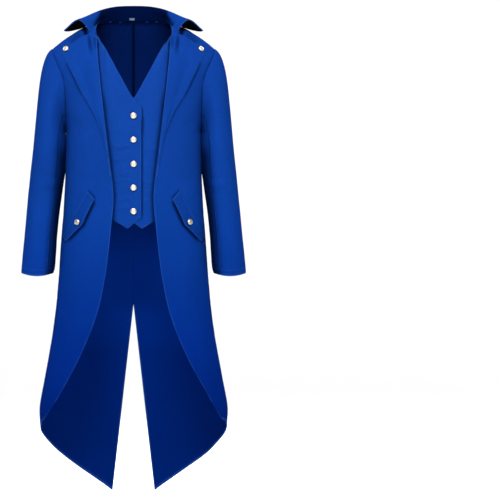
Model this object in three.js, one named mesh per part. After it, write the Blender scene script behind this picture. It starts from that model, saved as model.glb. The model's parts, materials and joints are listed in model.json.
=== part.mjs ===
// A long costume tailcoat, filled out as if worn by nobody: two backs with a slit, two cutaway fronts
// with buttoned-back lapels, a mock waistcoat, two-piece sleeves, a wing collar, pocket flaps, a half belt
// and domed metal buttons. Millimetres, +Z up, the front faces -Y and the wearer's left is +X.
// The origin is between the shoulders at the height of the collar's front ends, where the wearer holds it.
import * as THREE from "three";

// Cloth and seams. Facets meet unevenly, so what lies on a curved panel stands off a little further.
const SEAM_GAP = 0.3;
const LAID_GAP = 1;
const FLAP_GAP = 0.5;
const COAT_CLOTH = 2.0;
const SLEEVE_CLOTH = 1.8;
const VEST_CLOTH = 1.5;
const LAPEL_CLOTH = 1.8;
const FLAP_CLOTH = 1.8;
const BELT_CLOTH = 2.0;
const COLLAR_CLOTH = 2.4;
const UNDER_LEAF_CLOTH = 1.2;
const LABEL_CLOTH = 0.7;

// Heights that divide the body.
const UNDERARM_Z = -285;
const SHOULDER_TIP = { x: 223, z: -52 };
const NECK_POINT_X = 98;
const SHOULDER_ROUND_FROM_Z = -150;
const SLIT_TOP_Z = -757;
const TAIL_TIP = { x: 59, z: -1279 };
const SIDE_HEM_Z = -1091.5;
const FRONT_HEM_Z = -1066;

// How square the body's level sections are, and how full the shoulder's rounding is.
const SECTION_POWER = 2.3;
const SHOULDER_POWER = 1.7;

// Level sections of the body: half widths at the front and back, and depths from the shoulder seam.
const BODY_LEVELS = [
  { z: -1290, front: 250, back: 250, frontDepth: 106, backDepth: 169 },
  { z: -1096, front: 256, back: 256, frontDepth: 112, backDepth: 160 },
  { z: -1039, front: 259, back: 259, frontDepth: 114, backDepth: 156 },
  { z: -990, front: 251, back: 251, frontDepth: 115, backDepth: 153 },
  { z: -907, front: 236, back: 236, frontDepth: 117, backDepth: 147 },
  { z: -825, front: 222, back: 222, frontDepth: 119, backDepth: 141 },
  { z: -742, front: 211, back: 211, frontDepth: 120, backDepth: 135 },
  { z: -577, front: 198, back: 198, frontDepth: 121, backDepth: 120 },
  { z: -426, front: 187, back: 187, frontDepth: 118, backDepth: 106 },
  { z: -285, front: 185, back: 185, frontDepth: 124, backDepth: 116 },
  { z: -241, front: 190, back: 200, frontDepth: 127, backDepth: 119 },
  { z: -207, front: 195, back: 214, frontDepth: 129, backDepth: 121 },
  { z: -155, front: 206, back: 232, frontDepth: 130, backDepth: 123 },
  { z: -100, front: 225, back: 245, frontDepth: 130, backDepth: 123 },
  { z: -50, front: 245, back: 250, frontDepth: 130, backDepth: 122 },
  { z: 40, front: 245, back: 250, frontDepth: 130, backDepth: 120 },
];

// The line where the front and back surfaces meet on top. Inside the neck point it is only the dome's form.
const TOP_LINE = [
  { x: 0, z: 111 },
  { x: 36, z: 98 },
  { x: 66, z: 66 },
  { x: 87, z: 34 },
  { x: 98, z: 19 },
  { x: 120, z: 13 },
  { x: 142, z: 5 },
  { x: 168, z: -11 },
  { x: 192, z: -27 },
  { x: 223, z: -52 },
  { x: 234, z: -62 },
];

// The back neck seam's height from the centre back to the neck point.
const NECK_SEAM = [
  { x: 0, z: 26 },
  { x: 36, z: 26 },
  { x: 66, z: 25 },
  { x: 87, z: 22 },
  { x: 98, z: 19 },
];

// The armhole's place on the front and on the back, by height.
const ARMHOLE = [
  { z: -285, front: 185, back: 185 },
  { z: -241, front: 185.5, back: 190 },
  { z: -207, front: 186, back: 197 },
  { z: -180, front: 186.5, back: 204 },
  { z: -155, front: 188, back: 211 },
  { z: -135, front: 192, back: 215 },
  { z: -103, front: 205, back: 220 },
  { z: -80, front: 215, back: 222 },
  { z: -52, front: 223, back: 223 },
];

// The coat's front edge: the lapel's roll line down to the waist, then the cutaway round to the side.
const FRONT_EDGE = [
  { z: 30, x: 97 },
  { z: 12, x: 102 },
  { z: -4, x: 106 },
  { z: -30, x: 101 },
  { z: -129, x: 91 },
  { z: -247, x: 78 },
  { z: -346, x: 66 },
  { z: -456, x: 54 },
  { z: -521, x: 58 },
  { z: -650, x: 72 },
  { z: -714, x: 83 },
  { z: -782, x: 99 },
  { z: -850, x: 125 },
  { z: -918, x: 157 },
  { z: -1009, x: 208 },
  { z: -1066, x: 243 },
  { z: -1100, x: 262 },
];

// The tails' hem, from the tip by the slit round to the side seam.
const TAIL_HEM = [
  { x: 58, z: -1280 },
  { x: 89, z: -1257 },
  { x: 137, z: -1222.5 },
  { x: 183, z: -1187.5 },
  { x: 222, z: -1152 },
  { x: 245, z: -1122 },
  { x: 255, z: -1098 },
  { x: 257.5, z: -1083 },
  { x: 262, z: -1060 },
];

// Level sections of the left sleeve below the underarm.
const SLEEVE_LEVELS = [
  { z: -313, x: 231, y: 2, halfWidth: 43.5, halfDepth: 75 },
  { z: -412, x: 239, y: 6, halfWidth: 46.5, halfDepth: 68 },
  { z: -478, x: 246, y: 4, halfWidth: 45.5, halfDepth: 62 },
  { z: -544, x: 253, y: -4, halfWidth: 44.5, halfDepth: 56 },
  { z: -610, x: 259, y: -16, halfWidth: 44.7, halfDepth: 50 },
  { z: -668, x: 263, y: -28, halfWidth: 45.3, halfDepth: 46 },
];
const CUFF_DIP = 8;

// The sleeve's two seams, as angles round it: 0 is outside, 90 front, 180 inside and 270 back.
const FOREARM_SEAM = { armhole: 126, cuff: 131 };
const HINDARM_SEAM = { armhole: 270, cuff: 261 };
const ARMHOLE_STEP = 18;

// The coat's front edge stands a little off the waistcoat.
const EDGE_LIFT = { height: 5, reach: 45 };

// Lapel: a row for each place on the roll line, with the outer edge that lies level with it.
const LAPEL_ROWS = [
  { rollZ: -408, outerX: 62.5, outerZ: -408 },
  { rollZ: -375, outerX: 70, outerZ: -362 },
  { rollZ: -335, outerX: 83, outerZ: -296 },
  { rollZ: -270, outerX: 106, outerZ: -234 },
  { rollZ: -200, outerX: 135, outerZ: -184 },
  { rollZ: -130, outerX: 163, outerZ: -126 },
  { rollZ: -75, outerX: 182, outerZ: -88 },
  { rollZ: -26, outerX: 195, outerZ: -60 },
];
const GORGE_RISE = 15;
const LAPEL_ROLL_PUFF = 2.2;
const LAPEL_BUTTON = { x: 183, z: -57, sink: 0.6 };

// Waistcoat fronts. Distances across are towards the panel's own side, so the free edge is negative.
const VEST_NECK = { x: 107, z: -12 };
const VEST_V_Z = -195;
const VEST_CORNER_Z = -222;
const VEST_OVERLAP = 20.6;
const VEST_FREE_HEM_Z = -517;
const VEST_POINT = { overX: 16, underX: 23, z: -547 };
const VEST_HEM_RISE = 0.58;
const VEST_UNDER_COAT = 46;
const VEST_SET_BACK = { depth: 3, reach: 20 };
const VEST_TOP_BELOW_SEAM = 6;
const VEST_BUTTON_Z = [-241, -306, -372, -436, -500];

// Pocket flap: the welt runs from top to end, and the free edge from corner over the point to tail.
const FLAP = {
  top: { x: 124, z: -445 },
  end: { x: 190, z: -567 },
  corner: { x: 105, z: -467 },
  point: { x: 139, z: -537 },
  tail: { x: 183, z: -581 },
  pointAt: 0.62,
  button: { x: 151, z: -529 },
};

// Half belt on the back.
const BELT = { z: -412, halfLength: 101.5, shoulder: 85, halfHeight: 20.4, tip: 1.6, bow: 8, buttonX: 78 };

// Buttons.
const BIG_BUTTON = 8;
const CUFF_BUTTON = 7;
const CUFF_BUTTONS_UP = [84, 52, 20];
const CUFF_BUTTON_FROM_SEAM = 13;

// Collar: stations from the centre back to the front end of the left side, each with its seam, the roll
// on top of the stand, the crest of the leaf and the leaf's free edge.
const COLLAR_STATIONS = [
  { s: 0, seam: [0, 26], roll: [0, 88, 68], crest: [0, 105, 74], edge: [0, 128, 57] },
  { s: 0.18, seam: [36, 26], roll: [36, 82, 67], crest: [43, 99, 72], edge: [54, 121, 53] },
  { s: 0.36, seam: [66, 25], roll: [64, 63, 61], crest: [80, 78, 64], edge: [104, 99, 36] },
  { s: 0.54, seam: [87, 22], roll: [86, 34, 49], crest: [108, 46, 52], edge: [144, 63, 12] },
  { s: 0.7, seam: [98, 19], roll: [99, 0, 33], crest: [126, 10, 41], edge: [168, 27, 2] },
  { s: 0.85, seam: [106, 9], roll: [109, -31, 15], crest: [140, -22, 32], edge: [184, -6, -3] },
  { s: 1, seam: [117, -8], roll: [121, -51, -1], crest: [150, -52, 26], edge: [191, -42, -4] },
];
const COLLAR_ACROSS = { seam: 0, roll: 0.34, crest: 0.6, edge: 1 };
const COLLAR_SEAM_RISE = 1;
const UNDER_LEAF_FROM = 0.5;
const UNDER_LEAF_TO = 0.985;
const LABEL = { width: 14, from: 0.04, to: 0.09, centreX: -4 };

const BLUE = 0x1749a4;
const DEEP_BLUE = 0x0f3c8c;
const BLACK = 0x1c1f29;
const GOLD = 0xcdbb93;
const WHITE = 0xe8e8e4;

const radians = THREE.MathUtils.degToRad;
const lerp = THREE.MathUtils.lerp;
const clamp = THREE.MathUtils.clamp;
const smooth = THREE.MathUtils.smoothstep;
const vector = (x, y, z) => new THREE.Vector3(x, y, z);

// A smooth curve through a table's rows: one named column as a function of another.
function through(rows, key, column) {
  const sorted = [...rows].sort((p, q) => p[key] - q[key]);
  const at = sorted.map((row) => row[key]);
  const value = sorted.map((row) => row[column]);
  const last = at.length - 1;
  const slopeBetween = (i) => (value[i + 1] - value[i]) / (at[i + 1] - at[i]);
  const slopeAt = (i) => {
    if (i === 0) return slopeBetween(0);
    if (i === last) return slopeBetween(last - 1);
    return (value[i + 1] - value[i - 1]) / (at[i + 1] - at[i - 1]);
  };
  return (where) => {
    const x = clamp(where, at[0], at[last]);
    let i = 0;
    while (i < last - 1 && x > at[i + 1]) i += 1;
    const step = at[i + 1] - at[i];
    const f = (x - at[i]) / step;
    const start = value[i] * (1 + 2 * f) * (1 - f) ** 2 + slopeAt(i) * step * f * (1 - f) ** 2;
    return start + value[i + 1] * f * f * (3 - 2 * f) - slopeAt(i + 1) * step * f * f * (1 - f);
  };
}

// The body's form, from its tables.
const halfWidth = {
  front: through(BODY_LEVELS, "z", "front"),
  back: through(BODY_LEVELS, "z", "back"),
};
const depth = {
  front: through(BODY_LEVELS, "z", "frontDepth"),
  back: through(BODY_LEVELS, "z", "backDepth"),
};
const armholeX = {
  front: through(ARMHOLE, "z", "front"),
  back: through(ARMHOLE, "z", "back"),
};
const topLine = through(TOP_LINE, "x", "z");
const neckSeamZ = through(NECK_SEAM, "x", "z");
const frontEdgeX = through(FRONT_EDGE, "z", "x");
const tailHemZ = through(TAIL_HEM, "x", "z");

const TOUCH = 1e-4;

// A point of the body's surface at x and z, moved out along its normal. The face is "front" or "back".
function bodyPoint(face, x, z, out) {
  const n = SECTION_POWER;
  const m = SHOULDER_POWER;
  const across = Math.abs(x);
  const wide = halfWidth[face](z);
  const deep = depth[face](z);
  const top = topLine(across) - SHOULDER_ROUND_FROM_Z;
  const rise = clamp((z - SHOULDER_ROUND_FROM_Z) / top, 0, 1);
  const share = Math.min(across / wide, 1);
  const y = deep * (1 - share ** n) ** (1 / n) * (1 - rise ** m) ** (1 / m);

  // The gradient of y^n - depth^n * round^n * section^n, a little inside the seams, where it is never nought.
  const t = Math.min(rise, 1 - TOUCH);
  const q = Math.min(share, 1 - TOUCH);
  const sectionN = 1 - q ** n;
  const roundN = (1 - t ** m) ** (n / m);
  const roundSlope = -n * t ** (m - 1) * (1 - t ** m) ** (n / m - 1);
  const wideSlope = halfWidth[face](z + 0.5) - halfWidth[face](z - 0.5);
  const deepSlope = depth[face](z + 0.5) - depth[face](z - 0.5);
  const topSlope = topLine(across + 0.5) - topLine(Math.max(across - 0.5, 0));
  const yIn = deep * sectionN ** (1 / n) * (1 - t ** m) ** (1 / m);
  const deepN = deep ** n;
  const alongX = deepN * ((roundN * n * q ** (n - 1)) / wide + (sectionN * roundSlope * t * topSlope) / top);
  const alongY = n * yIn ** (n - 1);
  const sectionSlope = (n * q ** n * wideSlope) / wide;
  const risen = z > SHOULDER_ROUND_FROM_Z ? roundSlope / top : 0;
  const inDepth = n * deep ** (n - 1) * deepSlope * roundN * sectionN;
  const alongZ = -(inDepth + deepN * (sectionN * risen + roundN * sectionSlope));

  const side = face === "front" ? -1 : 1;
  const normal = vector(alongX * Math.sign(x || 1), alongY * side, alongZ).normalize();
  const point = vector(x, side * (y + SEAM_GAP / 2), z).addScaledVector(normal, out);
  return { point, normal };
}

// The angle round a level section at which its half width is x, and the x at an angle.
const angleOf = (x, wide) => Math.asin(clamp(x / wide, 0, 1) ** (SECTION_POWER / 2));
const acrossAt = (angle, wide) => wide * Math.sin(angle) ** (2 / SECTION_POWER);

// The x at a fraction of the way from one edge of a panel to the other, at a height.
function panelX(face, z, fraction, innerX) {
  const wide = halfWidth[face](z);
  const outerX = z <= UNDERARM_Z ? wide : armholeX[face](Math.min(z, SHOULDER_TIP.z));
  return acrossAt(lerp(angleOf(innerX, wide), angleOf(outerX, wide), fraction), wide);
}

// The height at which a panel's column meets a line given by x, found by going back and forth.
function meetLine(face, fraction, innerX, line, startZ) {
  let z = startZ;
  for (let i = 0; i < 12; i += 1) z = line(panelX(face, z, fraction, innerX(z)));
  return z;
}

// A column's height: 0 at the hem, 1 at the slit's top, 2 at the underarm and 3 at the top.
function columnZ(row, hemZ, topZ) {
  if (row <= 1) return lerp(hemZ, SLIT_TOP_Z, row);
  if (row <= 2) return lerp(SLIT_TOP_Z, UNDERARM_Z, row - 1);
  return lerp(UNDERARM_Z, topZ, (1 - Math.cos(Math.PI * (row - 2))) / 2);
}

// The slit's edge: closed above its top, then opening evenly to the tail's tip.
const slitX = (z) =>
  SEAM_GAP / 2 + (TAIL_TIP.x * Math.max(SLIT_TOP_Z - z, 0)) / (SLIT_TOP_Z - TAIL_TIP.z);

// The back's x and z: column 0 at the centre and 1 at the side and armhole.
function backPlace(column, row) {
  const topLimit = (x) => (x < NECK_POINT_X ? neckSeamZ(x) : topLine(x));
  const hemZ = meetLine("back", column, slitX, tailHemZ, -1200);
  const topZ = meetLine("back", column, slitX, topLimit, 0);
  const z = columnZ(row, hemZ, topZ);
  return { x: panelX("back", z, column, slitX(z)), z };
}

// The front's x and z: column 0 at the front edge and 1 at the side and armhole.
function frontPlace(column, row) {
  const hemZ = lerp(FRONT_HEM_Z, SIDE_HEM_Z, smooth(column, 0, 1));
  const topZ = meetLine("front", column, frontEdgeX, topLine, 0);
  const z = columnZ(row, hemZ, topZ);
  return { x: panelX("front", z, column, frontEdgeX(z)), z };
}

// How far the coat's front stands off near its free edge.
function edgeLift(x, z) {
  const near = 1 - smooth(x - frontEdgeX(z), 0, EDGE_LIFT.reach);
  const belowNeck = 1 - smooth(z, -80, 0);
  const aboveSide = smooth(z, -1000, -800);
  return EDGE_LIFT.height * near * belowNeck * aboveSide;
}

// A closed wall from a function that gives a place's outer and inner point. Columns and rows are lists.
function wall(columns, rows, placeAt) {
  const across = columns.length;
  const positions = [];
  const number = (i, j, inner) => ((j * across + i) << 1) + inner;
  for (const row of rows) {
    for (const column of columns) {
      const { outer, inner } = placeAt(column, row);
      positions.push(...outer.toArray(), ...inner.toArray());
    }
  }
  const faces = [];
  const quad = (a, b, c, d) => faces.push(a, b, c, a, c, d);
  for (let j = 0; j < rows.length - 1; j += 1) {
    for (let i = 0; i < across - 1; i += 1) {
      quad(number(i, j, 0), number(i + 1, j, 0), number(i + 1, j + 1, 0), number(i, j + 1, 0));
      quad(number(i, j, 1), number(i, j + 1, 1), number(i + 1, j + 1, 1), number(i + 1, j, 1));
    }
  }
  const rim = [];
  for (let i = 0; i < across - 1; i += 1) rim.push([i, 0]);
  for (let j = 0; j < rows.length - 1; j += 1) rim.push([across - 1, j]);
  for (let i = across - 1; i > 0; i -= 1) rim.push([i, rows.length - 1]);
  for (let j = rows.length - 1; j > 0; j -= 1) rim.push([0, j]);
  rim.forEach(([i, j], k) => {
    const [ni, nj] = rim[(k + 1) % rim.length];
    quad(number(i, j, 1), number(ni, nj, 1), number(ni, nj, 0), number(i, j, 0));
  });
  return facingOut(positions, faces);
}

// The geometry with its faces pointing out, whichever way round they were given.
function facingOut(positions, faces) {
  const corner = (k) => vector(...positions.slice(3 * faces[k], 3 * faces[k] + 3));
  let volume = 0;
  for (let k = 0; k < faces.length; k += 3) {
    volume += corner(k).dot(corner(k + 1).cross(corner(k + 2)));
  }
  if (volume < 0) {
    for (let k = 0; k < faces.length; k += 3) [faces[k], faces[k + 1]] = [faces[k + 1], faces[k]];
  }
  const geometry = new THREE.BufferGeometry();
  geometry.setAttribute("position", new THREE.Float32BufferAttribute(positions, 3));
  geometry.setIndex(faces);
  return geometry;
}

// Evenly spaced numbers from one value to another.
const steps = (from, to, count) => Array.from({ length: count + 1 }, (_, i) => lerp(from, to, i / count));

// Moves a point of the left side to the named side.
const onSide = (side, point) => point.setX(point.x * side);

const cloth = (color) => new THREE.MeshStandardMaterial({ color, roughness: 0.8, metalness: 0 });
const materials = {
  coat: cloth(BLUE),
  vest: cloth(BLUE),
  trim: cloth(DEEP_BLUE),
  underLeaf: cloth(BLACK),
  label: cloth(WHITE),
  button: new THREE.MeshStandardMaterial({ color: GOLD, roughness: 0.3, metalness: 0.9 }),
};

const coat = new THREE.Group();
function add(name, geometry, material) {
  const mesh = new THREE.Mesh(geometry, material);
  mesh.name = name;
  coat.add(mesh);
  return mesh;
}

// Backs and fronts.
const TAIL_ROWS = steps(0, 1, 6);
const WAIST_ROWS = steps(1, 2, 10).slice(1);
const CHEST_ROWS = steps(2, 3, 180 / ARMHOLE_STEP).slice(1);
const BODY_ROWS = [...TAIL_ROWS, ...WAIST_ROWS, ...CHEST_ROWS];
const BODY_COLUMNS = steps(0, 1, 10);

function bodyPanel(face, place, side) {
  return wall(BODY_COLUMNS, BODY_ROWS, (column, row) => {
    const { x, z } = place(column, row);
    const lift = face === "front" ? edgeLift(x, z) : 0;
    const at = (out) => onSide(side, bodyPoint(face, x, z, out).point);
    return { outer: at(lift), inner: at(lift - COAT_CLOTH) };
  });
}

// Waistcoat fronts. The wearer's right one laps over the left.
function vestPanel(side) {
  const over = side < 0;
  const pointX = over ? VEST_POINT.overX : VEST_POINT.underX;
  const pointAt = 0.55;
  const outerX = (z) => frontEdgeX(z) + VEST_UNDER_COAT;
  const freeX = (z) => {
    if (z <= VEST_CORNER_Z) return -VEST_OVERLAP;
    if (z <= VEST_V_Z) return lerp(-VEST_OVERLAP, 0, (z - VEST_CORNER_Z) / (VEST_V_Z - VEST_CORNER_Z));
    return (VEST_NECK.x * (z - VEST_V_Z)) / (VEST_NECK.z - VEST_V_Z);
  };
  const xAt = (column, z) => {
    if (column < pointAt) return lerp(outerX(z), lerp(pointX, outerX(z), freeShare(z)), column / pointAt);
    return lerp(lerp(pointX, outerX(z), freeShare(z)), freeX(z), (column - pointAt) / (1 - pointAt));
  };
  // Above the corner the middle column moves out with the neckline, so that the columns stay in order.
  const freeShare = (z) => 0.6 * smooth(z, VEST_CORNER_Z - 120, 0);
  const hemZ = (x) => {
    if (x > pointX) return VEST_POINT.z + (x - pointX) * VEST_HEM_RISE;
    return lerp(VEST_POINT.z, VEST_FREE_HEM_Z, (pointX - x) / (pointX + VEST_OVERLAP));
  };
  const zAt = (column, row) => {
    const low = hemZ(xAt(column, VEST_POINT.z));
    let high = 0;
    for (let i = 0; i < 12; i += 1) {
      high = topLine(Math.min(xAt(column, high), SHOULDER_TIP.x)) - VEST_TOP_BELOW_SEAM;
    }
    if (row <= 1) return lerp(low, VEST_CORNER_Z, row);
    if (row <= 2) return lerp(VEST_CORNER_Z, VEST_V_Z, row - 1);
    return lerp(VEST_V_Z, high, Math.sin(((row - 2) * Math.PI) / 2));
  };
  const rows = [...steps(0, 1, 7), 2, ...steps(2, 3, 6).slice(1)];
  return wall([0, 0.14, 0.28, 0.42, pointAt, 0.7, 0.85, 1], rows, (column, row) => {
    const z = zAt(column, row);
    const x = xAt(column, z);
    const lap = over ? 0 : (VEST_CLOTH + 2.5 * SEAM_GAP) * (1 - smooth(x, 24, 70));
    const under = VEST_SET_BACK.depth * smooth(x, frontEdgeX(z) - VEST_SET_BACK.reach, frontEdgeX(z));
    const out = -COAT_CLOTH - SEAM_GAP - lap - under;
    const at = (more) => onSide(side, bodyPoint("front", x, z, out - more).point);
    return { outer: at(0), inner: at(VEST_CLOTH) };
  });
}

// Lapels, folded back on the fronts.
const lapelOuterX = through(LAPEL_ROWS, "rollZ", "outerX");
const lapelOuterZ = through(LAPEL_ROWS, "rollZ", "outerZ");

// A lapel's x and z: column 0 on the roll line and 1 on the outer edge; row 0 at the bottom.
function lapelPlace(column, row) {
  const rollZ = lerp(LAPEL_ROWS[0].rollZ, LAPEL_ROWS.at(-1).rollZ, row);
  const gorge = GORGE_RISE * Math.sin(Math.PI * column ** 0.46) * smooth(row, 0.8, 1);
  const z = lerp(rollZ, lapelOuterZ(rollZ), column) + gorge;
  return { x: lerp(frontEdgeX(rollZ), lapelOuterX(rollZ), column), z };
}

const lapelPuff = (column) => LAPEL_ROLL_PUFF * Math.sin(Math.PI * Math.min(column / 0.6, 1));

// A place on the lapel's outer face.
function lapelFace(x, z, column, more) {
  const out = edgeLift(x, z) + LAID_GAP + LAPEL_CLOTH + lapelPuff(column) + more;
  return bodyPoint("front", x, z, out);
}

function lapel(side) {
  return wall([0, 0.15, 0.35, 0.6, 0.8, 1], steps(0, 1, 12), (column, row) => {
    const { x, z } = lapelPlace(column, row);
    const at = (more) => onSide(side, lapelFace(x, z, column, more).point);
    return { outer: at(0), inner: at(-LAPEL_CLOTH) };
  });
}

// Pocket flaps.
function flapPlace(along, down) {
  const between = (p, q, f) => ({ x: lerp(p.x, q.x, f), z: lerp(p.z, q.z, f) });
  const welt = between(FLAP.top, FLAP.end, along);
  const free =
    along < FLAP.pointAt
      ? between(FLAP.corner, FLAP.point, along / FLAP.pointAt)
      : between(FLAP.point, FLAP.tail, (along - FLAP.pointAt) / (1 - FLAP.pointAt));
  return between(welt, free, down);
}

const flapStandOff = (down) => 1.4 * down;

function flap(side) {
  const columns = [...steps(0, FLAP.pointAt, 4), ...steps(FLAP.pointAt, 1, 3).slice(1)];
  return wall(columns, steps(0, 1, 3), (along, down) => {
    const { x, z } = flapPlace(along, down);
    const out = edgeLift(x, z) + FLAP_GAP + FLAP_CLOTH + flapStandOff(down);
    const at = (more) => onSide(side, bodyPoint("front", x, z, out + more).point);
    return { outer: at(0), inner: at(-FLAP_CLOTH) };
  });
}

// Half belt, which bows off the back between its buttons.
function beltOut(x, up) {
  const between = Math.max(Math.cos((Math.PI * x) / (2 * (BELT.buttonX - BIG_BUTTON))), 0);
  const bow = Math.abs(x) < BELT.buttonX - BIG_BUTTON ? BELT.bow * between ** 2 : 0;
  return LAID_GAP + BELT_CLOTH + bow * (1 - 0.35 * up);
}

function halfBelt() {
  const columns = [-BELT.halfLength, ...steps(-BELT.shoulder, BELT.shoulder, 12), BELT.halfLength];
  return wall(columns, [-1, 0, 1], (x, up) => {
    const narrowing = smooth(Math.abs(x), BELT.shoulder, BELT.halfLength);
    const z = BELT.z + up * lerp(BELT.halfHeight, BELT.tip, narrowing);
    const at = (more) => {
      const found = bodyPoint("back", Math.abs(x), z, beltOut(x, up) + more).point;
      return x < 0 ? onSide(-1, found) : found;
    };
    return { outer: at(0), inner: at(-BELT_CLOTH) };
  });
}

// Sleeves. The armhole is a loop on the body, by angle from the shoulder tip over the front.
function armhole(angle) {
  const face = Math.sin(angle) >= 0 ? "front" : "back";
  const middle = (SHOULDER_TIP.z + UNDERARM_Z) / 2;
  const z = middle + ((SHOULDER_TIP.z - UNDERARM_Z) / 2) * Math.cos(angle);
  return bodyPoint(face, armholeX[face](z), z, 0);
}

const sleeveLevel = Object.fromEntries(
  ["x", "y", "halfWidth", "halfDepth"].map((name) => [name, through(SLEEVE_LEVELS, "z", name)]),
);
const BICEP_Z = SLEEVE_LEVELS[0].z;
const CUFF_Z = SLEEVE_LEVELS.at(-1).z;

function sleeveRing(angle, z) {
  const dip = CUFF_DIP * Math.sin(angle) ** 2 * smooth(-z, -CUFF_Z - 120, -CUFF_Z);
  const x = sleeveLevel.x(z) + sleeveLevel.halfWidth(z) * Math.cos(angle);
  return vector(x, sleeveLevel.y(z) - sleeveLevel.halfDepth(z) * Math.sin(angle), z - dip);
}

// The sleeve's surface: length 0 at the armhole, 1 at the bicep and 2 at the cuff.
function sleevePoint(angle, length) {
  if (length >= 1) return sleeveRing(angle, lerp(BICEP_Z, CUFF_Z, length - 1));
  const start = armhole(angle);
  const tangent = armhole(angle + 0.01).point.sub(armhole(angle - 0.01).point);
  const away = start.normal.clone().cross(tangent).normalize();
  const high = (1 + Math.cos(angle)) / 2;
  const sideways = Math.sin(angle) ** 2;
  const puff = 0.25 * high + 0.65 * sideways;
  const from = start.point.clone().addScaledVector(away, SEAM_GAP);
  const leaving = away.clone().addScaledVector(start.normal, puff).normalize();
  const end = sleeveRing(angle, BICEP_Z);
  const curve = new THREE.CubicBezierCurve3(
    from,
    from.clone().addScaledVector(leaving, 7 + 35 * high),
    end.clone().add(vector(-12 * high * high, 0, 14 + 98 * high)),
    end,
  );
  return curve.getPoint(length);
}

function sleeveNormal(angle, length) {
  const d = 1e-3;
  const low = Math.max(length - d, 0);
  const round = sleevePoint(angle + d, length).sub(sleevePoint(angle - d, length));
  const down = sleevePoint(angle, Math.min(length + d, 2)).sub(sleevePoint(angle, low));
  const own = round.cross(down).normalize();
  // At the armhole the sleeve's edge stands on the body's edge, so it has the body's normal there.
  return own.lerp(armhole(angle).normal, 1 - smooth(length, 0, 0.06)).normalize();
}

const SLEEVE_ROWS = [0, 0.05, 0.15, 0.3, 0.5, 0.75, ...steps(1, 2, 8)];

function sleevePanel(side, from, to, count) {
  return wall(steps(0, 1, count), SLEEVE_ROWS, (fraction, length) => {
    const shift = (seam) => lerp(seam.armhole, seam.cuff, clamp(length - 1, 0, 1));
    const gapAngle = THREE.MathUtils.radToDeg(SEAM_GAP / 2 / sleeveLevel.halfWidth(BICEP_Z));
    const start = shift(from) + gapAngle;
    const end = shift(to) + (to.armhole < from.armhole ? 360 : 0) - gapAngle;
    const angle = radians(lerp(start, end, fraction));
    const point = sleevePoint(angle, length);
    const inner = point.clone().addScaledVector(sleeveNormal(angle, length), -SLEEVE_CLOTH);
    return { outer: onSide(side, point), inner: onSide(side, inner) };
  });
}

// Collar: a leaf on a low stand, from one front end round the back to the other.
const bothSides = [
  ...COLLAR_STATIONS.slice(1).map((station) => ({ ...station, mirror: -1 })),
  ...COLLAR_STATIONS.map((station) => ({ ...station, mirror: 1 })),
];

function collarLine(name, axis) {
  const rows = bothSides.map((station) => {
    const [x, y, z] = collarControl(station, name);
    return { s: station.s * station.mirror, value: [x * station.mirror, y, z][axis] };
  });
  return through(rows, "s", "value");
}

function collarControl(station, name) {
  if (name !== "seam") return station[name];
  const [x, z] = station.seam;
  const face = x > NECK_POINT_X ? "front" : "back";
  const found = bodyPoint(face, x, z, face === "front" ? 1 : -1.2);
  return [x, found.point.y, z + COLLAR_SEAM_RISE];
}

const collarLines = Object.keys(COLLAR_ACROSS).map((name) => ({
  at: COLLAR_ACROSS[name],
  axes: [0, 1, 2].map((axis) => collarLine(name, axis)),
}));

function collarPoint(s, across) {
  const axis = (k) => {
    const rows = collarLines.map((line) => ({ at: line.at, value: line.axes[k](s) }));
    return through(rows, "at", "value")(across);
  };
  return vector(axis(0), axis(1), axis(2));
}

// The collar's normal points to the neck on the stand and up on the leaf.
function collarNormal(s, across) {
  const d = 1e-3;
  const along = collarPoint(Math.min(s + d, 1), across).sub(collarPoint(Math.max(s - d, -1), across));
  const out = collarPoint(s, Math.min(across + d, 1)).sub(collarPoint(s, Math.max(across - d, 0)));
  return along.cross(out).normalize();
}

function collarLayer(columns, rows, over, thick) {
  return wall(columns, rows, (s, across) => {
    const point = collarPoint(s, across);
    const normal = collarNormal(s, across);
    const at = (out) => point.clone().addScaledVector(normal, out);
    return { outer: at(over), inner: at(over - thick) };
  });
}

// Buttons: a domed head on a short shank, standing on a cloth's face.
const SHANK = { radius: 2.2, height: 1 };

function button(name, face, radius) {
  const height = radius * 0.4;
  const profile = [
    [0, 0],
    [SHANK.radius, 0],
    [SHANK.radius, SHANK.height],
    [radius, SHANK.height],
    [radius, SHANK.height + height * 0.42],
    [radius * 0.7, SHANK.height + height * 0.82],
    [0, SHANK.height + height],
  ].map(([r, y]) => new THREE.Vector2(r, y));
  const mesh = add(name, new THREE.LatheGeometry(profile, 12), materials.button);
  mesh.quaternion.setFromUnitVectors(vector(0, 1, 0), face.normal);
  mesh.position.copy(face.point).addScaledVector(face.normal, SEAM_GAP);
}

const mirrored = (face, side) => ({ point: onSide(side, face.point), normal: onSide(side, face.normal) });

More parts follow.
